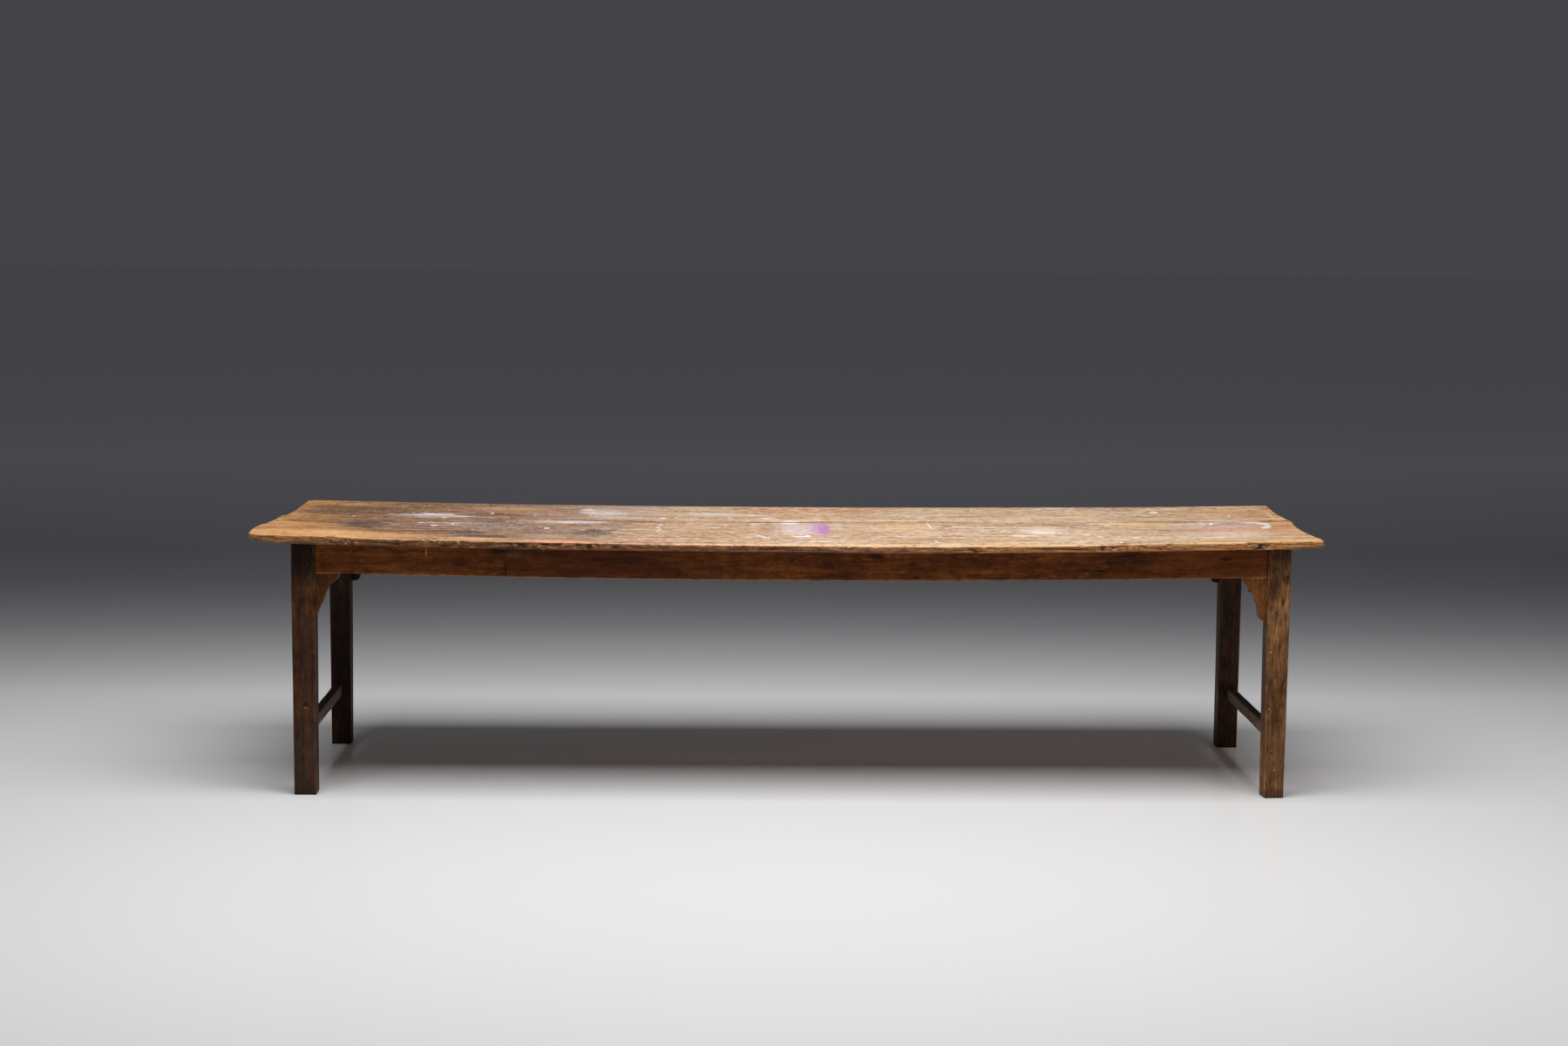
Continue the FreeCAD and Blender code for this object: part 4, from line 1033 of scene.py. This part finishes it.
        (0.0, 0.072, 0.026, 0.016, (228, 232, 230), 0.95),
        (-0.005, 0.01, 0.032, 0.014, (238, 236, 238), 0.95),
        (-0.09, -0.28, 0.006, 0.032, (228, 222, 220), 0.95, 24),
        (-0.076, -0.306, 0.013, 0.009, (228, 222, 220), 0.9),
        (0.028, -0.284, 0.028, 0.014, (234, 236, 238), 1.0),
        (0.046, -0.272, 0.01, 0.024, (234, 236, 238), 0.95),
        (0.09, -0.392, 0.019, 0.013, (232, 228, 224), 0.95),
        (0.09, -0.105, 0.028, 0.17, (194, 146, 182), 0.78),
        (0.099, -0.11, 0.017, 0.15, (180, 118, 170), 0.7),
        (0.418, -0.03, 0.0028, 0.09, (244, 230, 212), 0.9, 2),
        (0.413, -0.385, 0.0028, 0.042, (240, 226, 208), 0.85, 6),
        (0.68, -0.262, 0.046, 0.013, (242, 232, 224), 1.0),
        (0.718, -0.195, 0.005, 0.032, (236, 224, 214), 0.8, -20),
        (0.865, -0.235, 0.012, 0.014, (238, 226, 214), 0.95),
        (0.9, -0.275, 0.01, 0.014, (230, 216, 204), 0.85),
        (1.0, -0.312, 0.018, 0.013, (236, 222, 208), 0.95),
        (0.942, -0.425, 0.006, 0.016, (240, 228, 212), 0.9, -20),
        (1.15, 0.32, 0.013, 0.026, (244, 232, 218), 1.0),
        (1.272, -0.012, 0.005, 0.024, (242, 236, 228), 1.0, -8),
        (1.345, 0.046, 0.046, 0.013, (204, 212, 204), 0.9, -14),
        (1.4, 0.018, 0.032, 0.015, (208, 214, 206), 0.85, -20),
        (1.428, -0.015, 0.018, 0.026, (212, 218, 212), 0.88, 20),
        (1.435, -0.055, 0.012, 0.036, (208, 214, 208), 0.88, -4),
        (1.422, -0.095, 0.014, 0.026, (216, 220, 216), 0.9, -28),
        (1.365, 0.2, 0.004, 0.036, (230, 210, 180), 0.75, -4),
        (1.497, 0.24, 0.006, 0.072, (210, 196, 168), 0.75, -2),
        (1.46, 0.38, 0.05, 0.02, (194, 180, 154), 0.55, 12),
    ],
}


def flatMarks(rows, rub):  # marks on the top's face, through its whole height
    return [((x, y, 0.75), (wide, deep, 1.0), shade, strength, rub, *turn)
            for x, y, wide, deep, shade, strength, *turn in rows]


def topFinish(look):
    finish, tree = startFinish("wornTop")
    place = objectPlace(tree)
    along = addNode(tree, "ShaderNodeSeparateXYZ", {0: place}).outputs[0]
    grain = grainLayers(tree, place, topGrain)
    mottle, patches, grit = grain["mottle"], grain["patches"], grain["grit"]
    middle, stretch = look["heart"]
    heart = placed(tree, place, at=middle, size=stretch)
    rings = addNode(tree, "ShaderNodeTexWave", {"Vector": heart, **topRings},
                    wave_type="RINGS", rings_direction="X").outputs["Fac"]
    grain["lines"] = calc(tree, "MULTIPLY_ADD", rings, 0.35, calc(tree, "MULTIPLY", grain["fibres"], 0.65))
    reach = calc(tree, "MULTIPLY_ADD", along, 1 / look["length"], 0.5)
    drift = calc(tree, "MULTIPLY_ADD", calc(tree, "SUBTRACT", patches, 0.5), 0.16, reach)
    colour = ramp(tree, drift, look["run"])
    for layer, *spread in look["shading"]:
        colour = wash(tree, colour, grain[layer], *spread, "MULTIPLY")
    colour = wash(tree, colour, grain["pores"], 0.58, 0.70, 0.40, look["poreColour"])

    # soft stains and smoke marks
    ragged = calc(tree, "MULTIPLY_ADD", mottle, 1.7, calc(tree, "MULTIPLY_ADD", grit, 0.9, -1.3))
    broken = calc(tree, "MULTIPLY_ADD", grit, 0.45, calc(tree, "MULTIPLY", mottle, 0.55))
    broken = fade(tree, broken, 0.36, 0.50, 0.5, 1.0)
    colour = layMarks(tree, colour, place, flatMarks(look["stains"], 1.0), ragged, broken)

    # chalk rubbed into the grain, dark and pale grit over it
    chalk = addNode(tree, "ShaderNodeSeparateColor", {0: ramp(tree, drift, look["chalkRun"])}).outputs[0]
    chalk = calc(tree, "MULTIPLY", chalk, fade(tree, patches, 0.60, 0.40, 0.35, 1.0))
    chalk = calc(tree, "MULTIPLY", chalk, fade(tree, mottle, 0.40, 0.70, 0.15, 0.95))
    colour = blend(tree, chalk, colour, tint(*look["chalkColour"]))
    for layer, *spread in look["grit"]:
        colour = wash(tree, colour, grain[layer], *spread)

    # paint dragged along the grain, then strokes and dabs
    dragged = fade(tree, grain["drag"], 0.46, 0.56)
    colour = layMarks(tree, colour, place, flatMarks(look["smears"], 1.0), ragged, dragged)
    colour = layMarks(tree, colour, place, flatMarks(look["paint"], 0.7), ragged, broken, 0.45)

    # sides and ends hold dirt in fine lines and carry painted shade, most where they face down; their arrises
    # are rubbed pale, splits are dark
    facing = addNode(tree, "ShaderNodeNewGeometry").outputs["Normal"]
    upward = addNode(tree, "ShaderNodeSeparateXYZ", {0: facing}).outputs[2]
    threads, crumbs = grain["threads"], grain["crumbs"]
    # the edge colours are darkened partly as painted shade
    edge = ramp(tree, drift, look["edgeDirtAndShadeRun"])
    edge = wash(tree, edge, threads, 0.54, 0.40, 0.80, (140, 88, 56), "MULTIPLY")
    edge = wash(tree, edge, threads, 0.58, 0.70, 0.50, (206, 148, 88))
    frayed = calc(tree, "MULTIPLY_ADD", attribute(tree, "fray"), 0.65, 0.22)
    edge = wash(tree, edge, crumbs, 0.47, 0.37, 0.65, (62, 38, 21))
    golden = calc(tree, "MULTIPLY", fade(tree, crumbs, 0.54, 0.64), frayed)
    edge = blend(tree, golden, edge, tint(214, 160, 96))
    colour = blend(tree, fade(tree, upward, 0.80, 0.48, 0.0, 0.95), colour, edge)
    worn = calc(tree, "MULTIPLY", attribute(tree, "arris"), fade(tree, mottle, 0.36, 0.54, 0.35, 0.95))
    colour = blend(tree, worn, colour, ramp(tree, drift, look["arrisRun"]))
    # dirt in splits and notches, and painted shade under the edges
    grimeAndShade = calc(tree, "MULTIPLY", attribute(tree, "grimeAndShade"), 0.9)
    colour = blend(tree, grimeAndShade, colour, tint(*look["grimeAndShadeColour"]))
    rough = fade(tree, mottle, 0.3, 0.7, 0.52, 0.72)
    height = calc(tree, "MULTIPLY_ADD", grain["pores"], -0.5, grain["fibres"])
    endFinish(tree, colour, rough, height, (0.4, 0.0014), Specular_IOR_Level=0.2)
    return finish


topTimber = topFinish(topLook)
for boardSide in boards:
    makeBoard(boardSide, topTimber)
print("top boards made")


# Dried paint flecks on the top

fleckForm = {
    "seed": 5, "rise": 0.0006, "turn": 1.6,
    "long": (0.0012, 0.0036), "wide": (0.0010, 0.0026), "drops": (0.2, 3.0),  # share drawn out, and how far
    "reach": (1.48, 0.44),  # none nearer to the edges than this
    # clusters: centre, spread, how many
    "clusters": [((-1.05, 0.02), (0.22, 0.16), 38), ((-0.55, 0.05), (0.30, 0.22), 130),
                 ((0.05, -0.05), (0.28, 0.22), 110), ((0.75, -0.15), (0.30, 0.18), 80),
                 ((1.25, 0.05), (0.20, 0.22), 30), ((0.0, 0.0), (0.90, 0.25), 120)],
    "ramp": [(0.3, (204, 206, 214)), (0.5, (232, 228, 220)), (0.7, (226, 214, 196))],
}


def makeFlecks(spec):
    dice = random.Random(spec["seed"])
    often, drawn = spec["drops"]
    bm = bmesh.new()
    for (midX, midY), (spreadX, spreadY), count in spec["clusters"]:
        for _ in range(count):
            x, y = dice.gauss(midX, spreadX), dice.gauss(midY, spreadY)
            long = dice.uniform(*spec["long"]) * (drawn if dice.random() < often else 1.0)
            wide = dice.uniform(*spec["wide"])
            turn = dice.uniform(-spec["turn"], spec["turn"])
            if abs(x) > spec["reach"][0] or abs(y) > spec["reach"][1]:
                continue
            level = sagLevel(x, 0.0) + boardDish(x, y)
            size = Matrix.Diagonal((long, wide, spec["rise"], 1))
            where = Matrix.Translation((x, y, level)) @ Matrix.Rotation(turn, 4, "Z") @ size
            bmesh.ops.create_icosphere(bm, subdivisions=1, radius=1.0, matrix=where)
    finish, tree = startFinish("driedPaint")
    place = objectPlace(tree)
    shade = cloud(tree, placed(tree, place, size=(0.06, 0.06, 0.06)), 2)
    rough = fade(tree, shade, 0.3, 0.7, 0.5, 0.7)
    colour = ramp(tree, shade, spec["ramp"])
    endFinish(tree, colour, rough, shade, (0.1, 0.0005), Specular_IOR_Level=0.4)
    finishPiece(bm, "paint_flecks", finish, [])


makeFlecks(fleckForm)
print("paint flecks made")


# Pegs and batten nails keep their own shapes, bracket nails follow the sawn brackets

pegLook = {
    **legLook,
    "axis": "Y",
    "ramp": [(0.34, (28, 17, 11)), (0.46, (50, 31, 20)), (0.57, (70, 46, 31)), (0.70, (92, 64, 43))],
    "marks": [],
}


def dress(node, finish):  # a new finish on a shape that stays as it is
    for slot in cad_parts[node].material_slots:
        slot.material = finish


def dressPegs():
    finish = brownTimber("pegTimber", pegLook)
    for node in ("long_apron_pegs", "end_apron_pegs", "stretcher_pegs"):
        dress(node, finish)


def dressNails():
    finish, tree = startFinish("nailIron")
    place = objectPlace(tree)
    rust = cloud(tree, placed(tree, place, size=(0.004, 0.004, 0.004)), 5, 0.65)
    colour = ramp(tree, rust, [(0.30, (34, 30, 28)), (0.50, (58, 46, 40)), (0.68, (98, 62, 42))])
    endFinish(tree, colour, fade(tree, rust, 0.3, 0.7, 0.45, 0.8), rust, (0.4, 0.0006), Metallic=0.7)
    dress("batten_nails", finish)
    return finish


nailForm = {
    # heads: out from the leg, down from the bracket's top
    "upright": (0.0510, 0.0446), "level": (0.0377, 0.0675),
    "levelFrom": 0.055,  # lower nails are driven sideways into the leg
    "slim": 0.72, "sink": 0.0028,
}


def sinkBracketNails(finish):
    bm = bmesh.new()
    bm.from_mesh(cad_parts["bracket_nails"].data)
    bmesh.ops.remove_doubles(bm, verts=bm.verts, dist=1e-5)
    slim, sink = nailForm["slim"], nailForm["sink"]
    for vert in bm.verts:
        corner = ("front" if vert.co.y < 0 else "back") + "_" + ("left" if vert.co.x < 0 else "right")
        low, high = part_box("bracket_" + corner)
        out = 1 if low.x < 0 else -1  # from the leg along the apron
        legSide = low.x if low.x < 0 else high.x
        level = vert.co.z < high.z - nailForm["levelFrom"]
        reach, drop = nailForm["level" if level else "upright"]
        head = Vector((legSide + out * reach, (low.y + high.y) / 2, high.z - drop))
        thinner = Matrix.Diagonal((1, slim, slim) if level else (slim, slim, 1))
        deeper = Vector((-out * sink, 0, 0)) if level else Vector((0, 0, sink))
        vert.co = sawn(corner, head) + thinner @ (vert.co - head) + deeper
    finishPiece(bm, "bracket_nails_worn", finish, ["bracket_nails"])


dressPegs()
sinkBracketNails(dressNails())
print("pegs and nails dressed")
